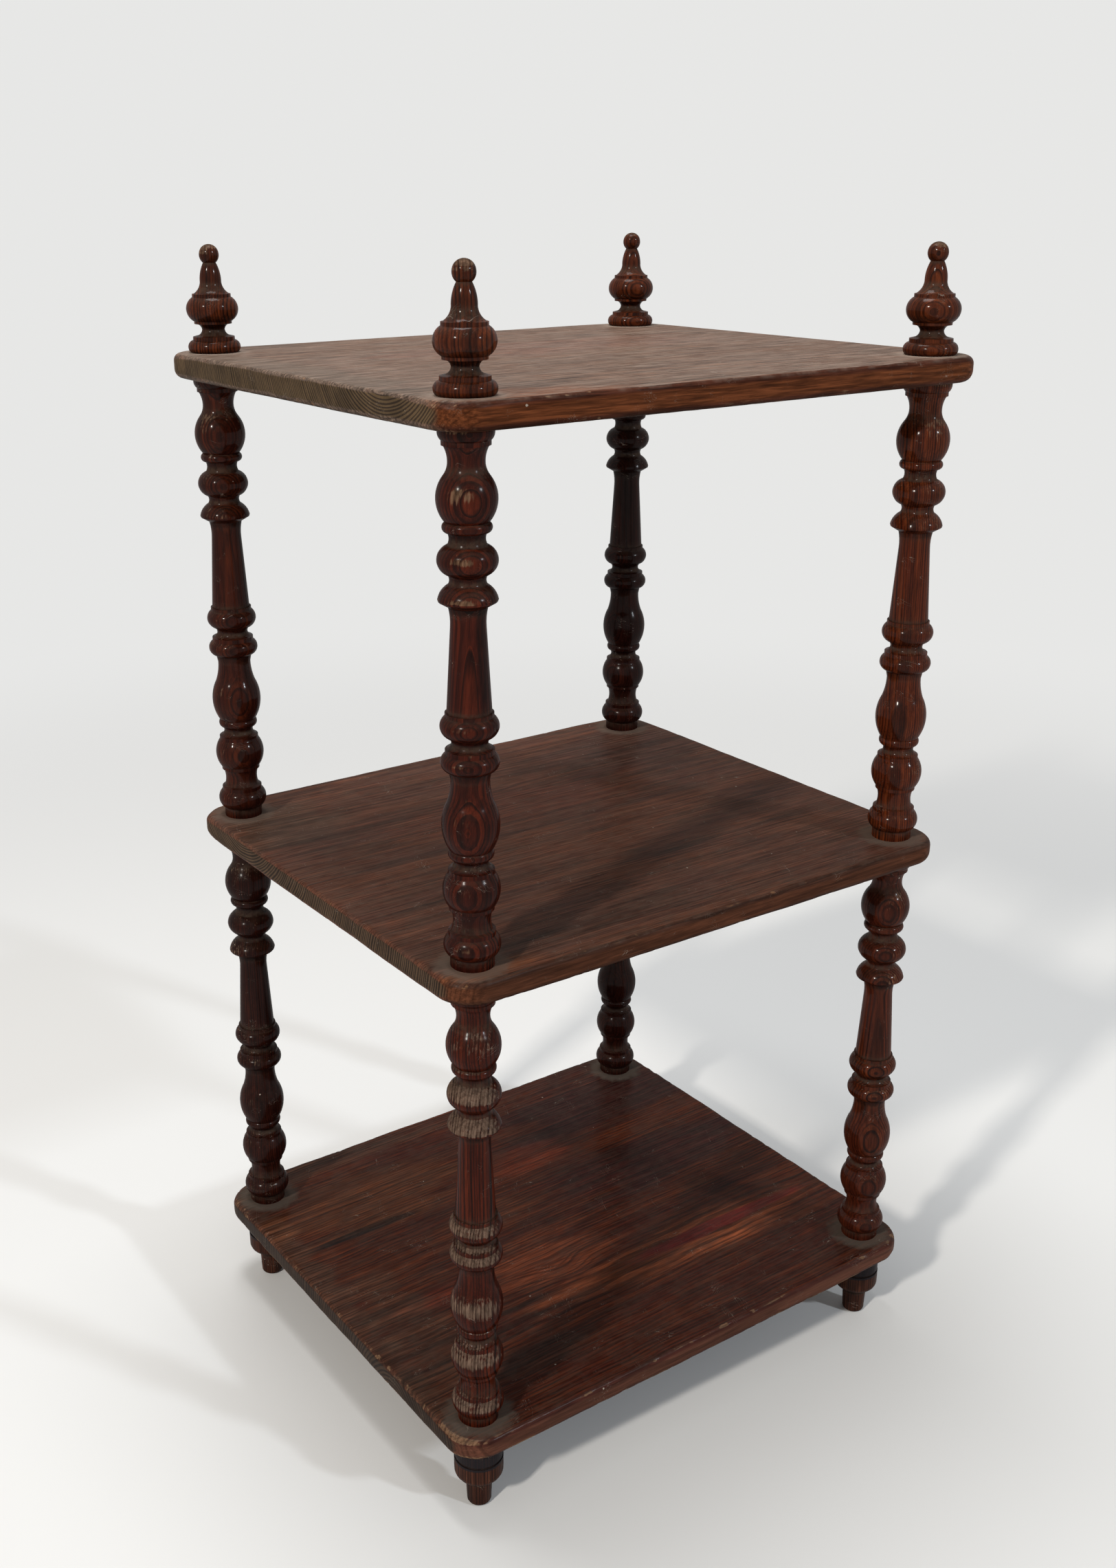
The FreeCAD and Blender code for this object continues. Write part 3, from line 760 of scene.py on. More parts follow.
@dataclass(kw_only=True)
class TurnedPiece(WoodenPiece):
    """Post, spun again from the node's own half outline and worn by hands.

    Attributes:
        rubbed_at: Heights over the piece's seat, in millimetres, and how rubbed it is there.
        outward: Share of the wear that only one side takes.
        rubbed_side: Compass angle of that side, or nothing for the side away from the shelf's middle.
        lobe: Cosines from that side between which the wear sets in.
        pegged: Whether a tenon stands out under it.
        bored: Whether a socket goes into its head.
        tenon: Radius of the tenon.
        tenon_reach: More than the tenon's length.
        bore: More than the radius of the socket.
        nearness: Distance within which two points count as one.
        sides: Number of flats round the axis.
        longest: Longest stretch of outline without a point.
        level: Height of the slices in which the outline is compared.
        compared: How far up and down it is compared.
        out_of_round: Most that the wood has shrunk on one side.
        crest_wear: Most that crests have lost.
        nicks: Number of small dents.
        sharp: Angle in degrees from which an edge is sharp.
        pivot: Height over the seat at which the grain tilts.
    """

    rubbed_at: Stops
    slot: str = "pine_turnings"
    outward: float = 0.4
    rubbed_side: float | None = None
    lobe: tuple[float, float] = (-0.6, 0.5)
    pegged: bool = True
    bored: bool = True
    tenon: float = 7.5 * MM
    tenon_reach: float = 50.0 * MM
    bore: float = 8.0 * MM
    nearness: float = 0.05 * MM
    sides: int = 96
    longest: float = 2.2 * MM
    level: float = 0.5 * MM
    compared: float = 6.5 * MM
    out_of_round: float = 0.12 * MM
    crest_wear: float = 0.3 * MM
    nicks: int = 14
    sharp: float = 33.0
    pivot: float = 100.0 * MM
    axis: Vector = field(init=False)
    seat: float = field(init=False)
    outline: Outline = field(init=False)

    def __post_init__(self) -> None:
        """Find the axis, the outline and the seat of the piece."""
        low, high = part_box(self.node)
        self.axis = Vector((round((low[0] + high[0]) / 2, 4), round((low[1] + high[1]) / 2, 4), 0.0))
        self.outline = self.half_outline()
        self.seat = foot = self.outline[0][1]
        if self.pegged:
            self.seat = max(height for radius, height in self.outline
                            if abs(radius - self.tenon) < self.nearness and height < foot + self.tenon_reach)

    def half_outline(self) -> Outline:
        """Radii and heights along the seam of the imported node, from its foot up and round.

        Returns:
            The points in order.
        """
        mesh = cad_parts[self.node].data
        seam: dict[int, tuple[float, float]] = {}
        for point in mesh.vertices:
            aside = point.co - self.axis
            if abs(aside.y) < 0.008 * MM and aside.x > -0.001 * MM:
                seam[point.index] = (round(aside.x, 6), round(point.co.z, 6))
        beside: dict[tuple[float, float], set[tuple[float, float]]] = {}
        for edge in mesh.edges:
            first, second = (seam.get(index) for index in edge.vertices)
            if first and second and first != second:
                beside.setdefault(first, set()).add(second)
                beside.setdefault(second, set()).add(first)
        path = [min((point for point in beside if len(beside[point]) == 1), key=lambda point: point[1])]
        while len(path) < len(beside):
            path.append(next(point for point in beside[path[-1]] if point not in path[-2:]))
        return path

    def fine_outline(self) -> Outline:
        """The half outline with its long straight stretches cut short.

        Returns:
            Radii and heights.
        """
        fine = [self.outline[0]]
        for (radius, height), (last_radius, last_height) in zip(self.outline[1:], self.outline):
            length = math.hypot(radius - last_radius, height - last_height)
            steps = max(1, math.ceil(length / self.longest)) if last_radius > self.bore else 1
            for step in range(1, steps + 1):
                share = step / steps
                fine.append((last_radius + (radius - last_radius) * share,
                             last_height + (height - last_height) * share))
        return fine

    def on_show(self, radius: float, height: float) -> bool:
        """Whether a point lies outside, not on the tenon or in the socket."""
        return height > self.seat - self.nearness and (radius > self.bore or not self.bored)

    def proudness(self, outline: Outline) -> list[float]:
        """How far each point stands over the outline's mean nearby, in millimetres.

        Args:
            outline: Radii and heights.

        Returns:
            One number a point, below nothing in hollows.
        """
        widest: dict[int, float] = {}
        for radius, height in outline:
            if self.on_show(radius, height):
                slice_at = round(height / self.level)
                widest[slice_at] = max(radius, widest.get(slice_at, 0.0))
        span = round(self.compared / self.level)
        proud = []
        for radius, height in outline:
            slice_at = round(height / self.level)
            near = [widest[other] for other in range(slice_at - span, slice_at + span + 1) if other in widest]
            shown = near and self.on_show(radius, height)
            proud.append((radius - sum(near) / len(near)) / MM if shown else 0.0)
        return proud

    def nick_places(self, outline: Outline, proud: list[float]) -> list[Nick]:
        """Small dents on the crests.

        Args:
            outline: Radii and heights.
            proud: Proudness of each point.

        Returns:
            Centre, reach and depth of each dent.
        """
        dice = random.Random(self.timber.seed)
        crest_from, scatter, reaches, depths = 1.2, 0.6 * MM, (0.8, 2.6), (0.15, 0.5)
        crests = [point for point, stands in zip(outline, proud) if stands > crest_from]
        places = []
        for _ in range(self.nicks):
            radius, height = dice.choice(crests)
            turn = dice.uniform(0.0, 2 * math.pi)
            centre = Vector((radius * math.cos(turn), radius * math.sin(turn),
                             height + dice.gauss(0.0, scatter)))
            places.append((centre, dice.uniform(*reaches) * MM, dice.uniform(*depths) * MM))
        return places

    def worn_point(self, place: Vector, stands: float, nicks: list[Nick]) -> Vector:
        """Move a point in to where wear and shrinkage leave it.

        Args:
            place: Point from the piece's axis.
            stands: Its proudness in millimetres.
            nicks: Dents.

        Returns:
            The moved point.
        """
        apart, tall, slow, quick, fully_proud = 3.1, 9.0, 1.3, 260.0, 2.5
        inward = Vector((place.x, place.y, 0.0)).normalized()
        shift = Vector((self.timber.seed * apart, 0.0, 0.0))
        shrunk = 0.5 + 0.5 * noise.noise(Vector((inward.x, inward.y, place.z * tall)) * slow + shift)
        ragged = 0.5 + 0.5 * noise.noise(place * quick + shift)
        loss = self.out_of_round * max(0.0, shrunk)
        loss += self.crest_wear * min(max(stands / fully_proud, 0.0), 1.0) * ragged
        for centre, reach, depth in nicks:
            away = (place - centre).length / reach
            if away < 1.0:
                loss += depth * (1.0 - away * away) ** 2
        return place - inward * loss

    def shape(self) -> bpy.types.Mesh:
        """Spin the outline in even steps and wear it.

        Returns:
            The mesh, with the proudness of each point as an attribute.
        """
        outline = self.fine_outline()
        proud = self.proudness(outline)
        nicks = self.nick_places(outline, proud)
        shape = bmesh.new()
        layer = shape.verts.layers.float.new("proud")
        turns = [2 * math.pi * side / self.sides for side in range(self.sides)]
        tip = 0.01 * MM
        rings: list[Loop] = []
        for (radius, height), stands in zip(outline, proud):
            places = [Vector((radius * math.cos(turn), radius * math.sin(turn), height)) for turn in turns]
            if radius < tip:
                places = [UP * height]
            elif self.on_show(radius, height):
                places = [self.worn_point(place, stands, nicks) for place in places]
            ring = [shape.verts.new(self.axis + place) for place in places]
            for point in ring:
                point[layer] = stands
            rings.append(ring)
        for lower, upper in zip(rings, rings[1:]):
            bridge(shape, lower, upper)
        for ring in (rings[0], rings[-1]):
            if len(ring) > 1:
                shape.faces.new(ring)
        return closed_mesh(self.node, shape, self.sharp)

    def grain_place(self, where: Value) -> Value:
        """Position from a point of the piece's own axis, tilted with the grain."""
        middle = (self.axis.x, self.axis.y, self.seat + self.pivot)
        return where.graph.turn(where - middle, (*self.timber.lean, 0.0))

    def masks(self, skin: Skin) -> dict[str, Value]:
        """Wear on crests and shoulders, painted shade with some dirt in hollows and under beads.

        Args:
            skin: What the shader knows.

        Returns:
            Masks by the names rubbed, grime and dust.
        """
        graph, where = skin.graph, skin.where
        proud = graph.take(graph.add("Attribute", attribute_name="proud"), "Fac")
        height, upward = where.parts()[2], skin.normal.parts()[2]
        worn = graph.table(height, [(self.seat + level * MM, amount) for level, amount in self.rubbed_at])
        broad = ((where - self.axis) * FLAT).length().step(15.0 * MM, 19.0 * MM, 0.35, 0.85)
        crest = proud.step(0.4, 2.4, 0.35, 1.0) | broad | upward.step(0.15, 0.6, 0.0, 0.95)
        shoulder = upward.step(-0.25, 0.2, 0.12, 1.0)
        outer = self.axis.normalized()
        if self.rubbed_side is not None:
            outer = Vector((*bearing(self.rubbed_side, 1.0), 0.0))
        side = graph.work("DOT_PRODUCT", skin.normal, outer).step(*self.lobe, 1.0 - self.outward, 1.0)
        ragged = graph.cloud(where, 240.0, 3.0, 0.6, self.timber.seed).step(0.35, 0.6, 0.35, 1.0)
        return {
            "rubbed": crest * shoulder * side * worn,
            # Painted shade in the hollows and under the beads, with some dirt.
            "grime": proud.step(-2.6, -0.5, 0.8, 0.0) | upward.step(-0.9, -0.2, 0.55, 0.0),
            "dust": proud.step(-1.6, 0.0, 0.75, 0.0) * upward.step(-0.3, 0.25) * ragged,
        }


@dataclass(kw_only=True)
class Finial(TurnedPiece):
    """Finial, which has a closed head."""

    bored: bool = False


@dataclass(kw_only=True)
class Foot(TurnedPiece):
    """Foot whose head, in the shade of the board, is painted a bluish dark: painted shade.

    Attributes:
        head_from: Height over the floor where the head starts.
        head_fade: Half the height over which the colour changes.
        shaded_head_colour: Colour of the head, a bluish painted shade.
    """

    pegged: bool = False
    head_from: float = 41.6 * MM
    head_fade: float = 0.4 * MM
    # Bluish dark painted shade of the board above, on the head.
    shaded_head_colour: Colour = stain(24, 24, 28)

    def tint(self, skin: Skin, colour: Value) -> Value:
        """Bluish painted shade on the head over the groove.

        Args:
            skin: What the shader knows.
            colour: Colour of the wood.

        Returns:
            Colour with the painted shade on the head.
        """
        height = skin.where.parts()[2]
        # How much painted shade the head takes.
        head = height.step(self.head_from - self.head_fade, self.head_from + self.head_fade, 0.0, 0.85)
        return skin.graph.blend(head, colour, self.shaded_head_colour)


class Section(Enum):
    """Which part of a board's edge a rounding belongs to."""

    UPPER = "upper"
    LOWER = "lower"


@dataclass(frozen=True)
class Patch:
    """Soft patch of another colour on a board; most are stains, a few are painted shade.

    Attributes:
        centre: Its middle, along and across the board.
        reach: Half its length and half its width.
        colour: Its colour.
        strength: How much of the board's own colour it covers.
    """

    centre: tuple[float, float]
    reach: tuple[float, float]
    colour: Colour
    strength: float


@dataclass(kw_only=True)
class ShelfBoard(WoodenPiece):
    """Board with softened edges and corners, drawn round its rim in short steps.

    Attributes:
        patches: Patches of other colours: stains, and a few of painted shade.
        corner_rubbed: How rubbed the near corner is.
        rim_rubbed: How rubbed the other edges are.
        lower_rubbed: How rubbed the lower edges are.
        dry_sheen: How much pale painted sheen, laid on as dust, the driest fibres of the top show.
        streaked: How strong the short light and dark streaks are.
        chip_depth: Most that a chip takes off an edge.
        smudged: How strong the ragged smudges on the top are.
        smudge_colour: Their colour.
        lit_side_colour: Colour of the long sides, painted as lit on their flats.
        shaded_band_colour: Their darker colour along the two rounded edges, painted shade.
        side_figure: How strongly the rings show on them.
        end_colour: Colour of the late wood on the ends, across the grain.
        end_pale: Colour of the early wood there.
        corner: Radius of the corners.
        corner_reach: How far round the near corner it is rubbed more.
        upper_round: Least and most radius of the upper edge, the most at the corners.
        lower_round: The same of the lower edge.
        ledge: Breadth of the flat rim that leads to each rounding.
        hole: Radius of the tenon holes.
        hole_sides: Number of flats round a hole.
        posts: Distance of the holes from the middle, along and across.
        step: Distance between points along the rim.
        arc: Number of steps in each rounding.
        sharp: Angle in degrees from which an edge is sharp.
    """

    patches: tuple[Patch, ...]
    corner_rubbed: float
    rim_rubbed: float
    lower_rubbed: float = 0.35
    dry_sheen: float
    streaked: float
    chip_depth: float
    smudged: float
    smudge_colour: Colour
    lit_side_colour: Colour
    shaded_band_colour: Colour
    side_figure: float
    end_colour: Colour
    end_pale: Colour
    slot: str = "pine_boards"
    kept: float = 0.3
    corner: float = 26.0 * MM
    corner_reach: float = 75.0 * MM
    upper_round: tuple[float, float] = (3.2 * MM, 6.2 * MM)
    lower_round: tuple[float, float] = (5.4 * MM, 7.6 * MM)
    ledge: float = 2.5 * MM
    hole: float = 7.62 * MM
    hole_sides: int = 32
    posts: tuple[float, float] = (0.200, 0.172)
    step: float = 2.6 * MM
    arc: int = 7
    sharp: float = 40.0
    half: Vector = field(init=False)
    under: float = field(init=False)
    top: float = field(init=False)

    def __post_init__(self) -> None:
        """Read the board's own box."""
        low, high = (Vector(corner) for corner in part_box(self.node))
        self.half = (high - low) / 2
        self.under, self.top = low.z, high.z

    def rim(self) -> list[tuple[Vector, Vector, float]]:
        """Points round the rim.

        Returns:
            Place, outward direction and how near the middle of a corner each one is.
        """
        points: list[tuple[Vector, Vector, float]] = []
        core = Vector((self.half.x - self.corner, self.half.y - self.corner))
        corners = ((1, 1), (-1, 1), (-1, -1), (1, -1))
        at_corner_end, past_corner, fall = 0.45, 35 * MM, 1.1
        for index, (side_x, side_y) in enumerate(corners):
            centre = Vector((side_x * core.x, side_y * core.y, 0.0))
            steps = math.ceil(self.corner * QUARTER / self.step)
            for step in range(steps + 1):
                share = step / steps
                turn = QUARTER * (index + share)
                outward = Vector((math.cos(turn), math.sin(turn), 0.0))
                points.append((centre + outward * self.corner, outward, 1.0 - abs(share - 0.5) * fall))
            next_x, next_y = corners[(index + 1) % 4]
            start = centre + outward * self.corner
            end = Vector((next_x * core.x, next_y * core.y, 0.0)) + outward * self.corner
            steps = math.ceil((end - start).length / self.step)
            for step in range(1, steps):
                share = step / steps
                near = min(share, 1.0 - share) * (end - start).length
                near_corner = at_corner_end * max(0.0, 1.0 - near / past_corner)
                points.append((start.lerp(end, share), outward, near_corner))
        return points

    def rounding(self, section: Section, place: Vector, near_corner: float) -> float:
        """Radius of an edge at one place.

        Args:
            section: Upper or lower edge.
            place: Point of the rim.
            near_corner: How near the middle of a corner it is.

        Returns:
            Radius in metres.
        """
        upper = section is Section.UPPER
        least, most = self.upper_round if upper else self.lower_round
        apart, level, slow, quick, never_under = 2.3, 1.0 if upper else 5.0, 22.0, 90.0, 1.6 * MM
        shift = Vector((self.timber.seed * apart, 0.0, level))
        uneven = noise.noise(place * slow + shift) * 1.1 * MM + noise.noise(place * quick + shift) * 0.4 * MM
        return max(never_under, least + (most - least) * near_corner + uneven)

    def chip(self, place: Vector, softness: float) -> float:
        """How much is broken off an edge at one place.

        Args:
            place: Point of the edge.
            softness: One in the middle of a rounding, nothing on a flat.

        Returns:
            Depth in metres.
        """
        apart, slow, quick, quickest, sound, stretch = 4.7, 11.0, 120.0, 310.0, 0.12, 2.2
        shift = Vector((0.0, self.timber.seed * apart, 0.0))
        rough = noise.noise(place * quick + shift) + 0.6 * noise.noise(place * quickest + shift)
        here = 0.5 + 0.5 * noise.noise(place * slow + shift)
        return self.chip_depth * max(0.0, rough * here - sound) * stretch * softness

    def section(self, place: Vector, outward: Vector, near_corner: float) -> list[EdgePoint]:
        """Section of the rim at one place, from the top down.

        Args:
            place: Point of the rim.
            outward: Direction away from the board there.
            near_corner: How near the middle of a corner it is.

        Returns:
            Inset, height, direction of the surface and softness of each point.
        """
        upper = self.rounding(Section.UPPER, place, near_corner)
        lower = self.rounding(Section.LOWER, place, near_corner)
        turns = [QUARTER * step / self.arc for step in range(self.arc + 1)]
        flat_top, flat_end, flat_softness = self.top - upper, self.under + lower, 0.12
        return [
            (upper + self.ledge, self.top, UP, 0.0),
            *((upper * (1 - math.sin(turn)), self.top - upper * (1 - math.cos(turn)),
               outward * math.sin(turn) + UP * math.cos(turn), math.sin(2 * turn)) for turn in turns),
            *((0.0, flat_top + (flat_end - flat_top) * share, outward, flat_softness)
              for share in (0.25, 0.5, 0.75)),
            *((lower * (1 - math.cos(turn)), self.under + lower * (1 - math.sin(turn)),
               outward * math.cos(turn) - UP * math.sin(turn), math.sin(2 * turn)) for turn in turns),
            (lower + self.ledge, self.under, -UP, 0.0),
        ]

    def shape(self) -> bpy.types.Mesh:
        """Loops round the rim, closed by a top and an underside with four holes.

        Returns:
            The mesh, with the depth of the chips as an attribute.
        """
        shape = bmesh.new()
        layer = shape.verts.layers.float.new("chip")
        deep_chip = 0.45 * MM
        columns: list[Loop] = []
        for place, outward, near_corner in self.rim():
            column = []
            for inset, height, facing, softness in self.section(place, outward, near_corner):
                point = place - outward * inset
                point.z = height
                depth = self.chip(point, softness)
                vertex = shape.verts.new(point - facing.normalized() * depth)
                vertex[layer] = min(1.0, depth / deep_chip)
                column.append(vertex)
            columns.append(column)
        for index, column in enumerate(columns):
            after = columns[(index + 1) % len(columns)]
            for row in range(len(column) - 1):
                shape.faces.new((column[row], column[row + 1], after[row + 1], after[row]))
        self.close(shape, columns)
        return closed_mesh(self.node, shape, self.sharp)

    def close(self, shape: bmesh.types.BMesh, columns: list[Loop]) -> None:
        """Add the holes, the top and the underside.

        Args:
            shape: The board so far.
            columns: Points of the rim, from the top down.
        """
        turns = [2 * math.pi * side / self.hole_sides for side in range(self.hole_sides)]
        rings: dict[float, list[Loop]] = {self.top: [], self.under: []}
        for along, across in ((-1, -1), (-1, 1), (1, -1), (1, 1)):
            for level, found in rings.items():
                found.append([shape.verts.new((along * self.posts[0] + self.hole * math.cos(turn),
                                               across * self.posts[1] + self.hole * math.sin(turn), level))
                              for turn in turns])
        for upper, lower in zip(rings[self.top], rings[self.under]):
            bridge(shape, upper, lower)
        for row, level in ((0, self.top), (-1, self.under)):
            outer = [column[row] for column in columns]
            edges = [shape.edges.get(pair) or shape.edges.new(pair)
                     for loop in (outer, *rings[level]) for pair in zip(loop, loop[1:] + loop[:1])]
            bmesh.ops.triangle_fill(shape, use_beauty=True, edges=edges)

    def grain_place(self, where: Value) -> Value:
        """Position with the board's length, which the grain follows, as third axis.

        Args:
            where: Position in the frame.

        Returns:
            Position in the frame of the grain.
        """
        graph = where.graph
        along, across, height = where.parts()
        turned = graph.take(graph.add("CombineXYZ", across, height - self.top, along))
        return graph.turn(turned, (*self.timber.lean, 0.0))

    def tint(self, skin: Skin, colour: Value) -> Value:
        """Patches of other colours, ragged along the grain, some of them painted shade, and the colours of
        the ends and of the sides, painted lit on their flats and shaded along their rounded edges.

        Args:
            skin: What the shader knows.
            colour: Colour of the wood.

        Returns:
            Colour with the patches, the ends and the painted light and shade of the sides.
        """
        graph, wood, seed = skin.graph, skin.wood, self.timber.seed
        ragged = graph.cloud(wood, (40.0, 40.0, 6.0), 4.0, 0.6, seed)
        for patch in self.patches:
            length, width = patch.reach
            away = ((skin.where - (*patch.centre, 0.0)) * (1 / length, 1 / width, 0.0)).length()
            share = (away + (ragged - 0.5) * 2.4).step(0.6, 1.2, patch.strength, 0.0)
            colour = self.dyed(share, colour, patch.colour, 1.0)
        smudge = graph.cloud(wood, (70.0, 70.0, 17.0), 5.0, 0.66, seed + 3.0)
        colour = self.dyed(smudge.step(0.52, 0.64, 0.0, self.smudged), colour, self.smudge_colour, 0.6)
        short = graph.cloud(wood, (560.0, 560.0, 34.0), 3.0, 0.62, seed + 6.0)
        colour = graph.shaded(colour, short.step(0.36, 0.64, 1.0 - self.streaked, 1.0 + self.streaked))
        facing_x, facing_y, _ = skin.normal.parts()
        from_middle = abs(skin.where.parts()[2] - (self.top + self.under) / 2)
        # Painted light on the flats of the long sides, painted shade along their rounded edges.
        shaded_band = ((ragged - 0.5) * (5 * MM) + from_middle).step(3.5 * MM, 6.5 * MM)
        lit, dark = (self.dyed(1.0, colour, dye, self.side_figure)
                     for dye in (self.lit_side_colour, self.shaded_band_colour))
        side = abs(facing_y).step(0.1, 0.45, 0.0, 0.95)
        colour = graph.blend(side, colour, graph.blend(shaded_band, lit, dark))
        across_grain = graph.blend(skin.late.step(0.0, 0.26), self.end_pale, self.end_colour)
        across_grain = graph.shaded(across_grain, ragged.step(0.3, 0.7, 0.75, 1.25))
        return graph.blend(abs(facing_x).step(0.9, 0.99, 0.0, 0.95), colour, across_grain)

    def dyed(self, share: object, colour: Value, dye: Colour, contrast: float) -> Value:
        """Colour moved towards another one that keeps its light and dark figure.

        Args:
            share: How far it moves.
            colour: Colour of the wood.
            dye: The other colour.
            contrast: How much stronger the figure becomes.

        Returns:
            Moved colour.
        """
        graph, mean = colour.graph, sum(self.finish.early) / 3
        level, lightest = graph.take(graph.add("RGBToBW", colour)) / mean, 2.0
        figure = graph.work("MINIMUM", level ** contrast, lightest)
        return graph.blend(share, colour, graph.shaded(dye, figure))

    def masks(self, skin: Skin) -> dict[str, Value]:
        """Wear along the edges and chips, painted shade underneath, dust round the posts, and a pale painted
        sheen laid on as dust on the driest fibres.

        Args:
            skin: What the shader knows.

        Returns:
            Masks by the names rubbed, grime and dust.
        """
        graph, where, seed = skin.graph, skin.where, self.timber.seed
        chip = graph.take(graph.add("Attribute", attribute_name="chip"), "Fac")
        upward = skin.normal.parts()[2]
        broken = graph.cloud(where, (28.0, 28.0, 60.0), 3.0, 0.6, seed)
        near = (where - (-self.half.x, -self.half.y, self.top)).length() / self.corner_reach
        upper = (upward.step(0.2, 0.6) * upward.step(0.9, 0.985, 1.0, 0.0) * broken.step(0.42, 0.6, 0.35, 1.0)
                 * near.step(0.3, 1.0, self.corner_rubbed, self.rim_rubbed))
        lower = (upward.step(-0.45, -0.02, 1.0, 0.0) * upward.step(-0.985, -0.9, 0.0, self.lower_rubbed)
                 * broken.step(0.42, 0.56, 1.0, 0.4))
        level = upward.step(0.7, 0.95)
        from_post = (abs(where * FLAT) - (*self.posts, 0.0)).length()
        ring = from_post + (graph.cloud(where, 160.0, 3.0) - 0.5) * (12 * MM)
        fibre = graph.cloud(where, (34.0, 480.0, 480.0), 3.0, 0.6, seed)
        # A pale painted sheen, laid on as dust, on the driest fibres.
        round_post, dry_sheen = ring.step(20 * MM, 32 * MM, 0.9, 0.0), fibre.step(0.5, 0.62, 0.0, self.dry_sheen)
        return {
            "rubbed": upper | lower | chip * 0.9,
            # Painted shade on the undersides.
            "grime": upward.step(-0.9, -0.5, 0.7, 0.0),
            # Dust round the posts, and the painted sheen on the driest fibres.
            "dust": round_post * level | dry_sheen * level,
        }


SHOULDERS: Stops = (
    (0.0, 0.25), (14.0, 0.42), (60.0, 0.4), (98.0, 0.36), (145.0, 0.46), (168.0, 0.42), (176.0, 0.25),
    (240.0, 0.22), (250.0, 0.5), (262.0, 0.3), (275.0, 0.46), (290.0, 0.3), (311.0, 0.34), (353.0, 1.0))
HARD_WORN: Stops = (
    (0.0, 0.4), (12.0, 0.5), (18.0, 0.95), (26.0, 0.5), (50.0, 0.5), (60.0, 1.0), (70.0, 0.6), (88.0, 0.6),
    (100.0, 1.0), (112.0, 0.7), (120.0, 0.45), (136.0, 0.6), (146.0, 1.0), (154.0, 0.8), (166.0, 1.0),
    (178.0, 0.7), (190.0, 0.4), (236.0, 0.4), (246.0, 0.9), (256.0, 1.0), (262.0, 0.6), (270.0, 0.8),
    (282.0, 1.0), (290.0, 0.5), (305.0, 0.6), (330.0, 0.5), (353.0, 1.0))
STREAKED: Stops = (
    (0.0, 0.35), (16.0, 0.6), (50.0, 0.4), (98.0, 0.45), (145.0, 0.7), (168.0, 0.6), (176.0, 0.4),
    (240.0, 0.4), (248.0, 0.95), (258.0, 0.8), (264.0, 0.4), (274.0, 0.95), (284.0, 0.5), (300.0, 0.6),
    (318.0, 0.85), (335.0, 0.5), (353.0, 1.0))
CAPS: Stops = ((0.0, 0.2), (20.0, 0.35), (40.0, 0.26), (60.0, 0.3), (78.0, 1.0))
DRUMS: Stops = ((0.0, 0.5), (12.0, 0.35), (24.0, 0.7), (38.0, 0.55), (44.0, 0.15), (61.5, 1.0))

TOP_PATCHES = (
    Patch((-0.22, 0.0), (0.03, 0.22), stain(92, 80, 70), 0.6),
    Patch((-0.17, -0.18), (0.07, 0.025), stain(112, 66, 42), 0.6),
    Patch((0.02, 0.05), (0.16, 0.05), stain(112, 78, 66), 0.5),
)
MIDDLE_PATCHES = (
    Patch((-0.12, -0.165), (0.12, 0.02), stain(62, 43, 34), 0.4),
    Patch((-0.20, -0.185), (0.05, 0.012), stain(110, 62, 34), 0.6),
    Patch((0.0, 0.06), (0.14, 0.035), stain(92, 50, 38), 0.5),
    Patch((0.06, -0.07), (0.14, 0.04), stain(96, 58, 42), 0.45),
    # Darker at the back on the right: painted shade.
    Patch((0.17, 0.12), (0.09, 0.06), stain(58, 43, 41), 0.4),
    Patch((-0.19, 0.13), (0.05, 0.05), stain(84, 66, 54), 0.5),
)
BOTTOM_PATCHES = (
    Patch((0.07, -0.098), (0.16, 0.021), stain(122, 64, 38), 0.85),
    Patch((0.10, -0.094), (0.105, 0.0075), stain(66, 17, 15), 0.95),
    Patch((-0.05, -0.05), (0.06, 0.035), stain(112, 56, 34), 0.6),
    Patch((0.03, 0.083), (0.05, 0.02), stain(104, 44, 26), 0.6),
    Patch((-0.15, -0.04), (0.05, 0.012), stain(98, 40, 26), 0.6),
    Patch((-0.156, 0.074), (0.05, 0.005), stain(20, 16, 17), 0.85),
    # This and the next, darker on the right and at the back, are painted shade.
    Patch((0.13, 0.02), (0.13, 0.035), stain(38, 19, 22), 0.6),
    Patch((0.16, 0.13), (0.12, 0.05), stain(40, 24, 26), 0.6),
    Patch((-0.12, -0.145), (0.07, 0.015), stain(46, 32, 26), 0.5),
    Patch((-0.225, 0.0), (0.02, 0.22), stain(72, 52, 40), 0.5),
    Patch((-0.13, 0.187), (0.14, 0.014), stain(68, 50, 39), 0.5),
    Patch((-0.12, 0.12), (0.09, 0.05), stain(92, 54, 34), 0.55),
    Patch((-0.19, -0.06), (0.03, 0.09), stain(74, 50, 37), 0.5),
    Patch((-0.06, 0.03), (0.06, 0.025), stain(98, 52, 32), 0.45),
)


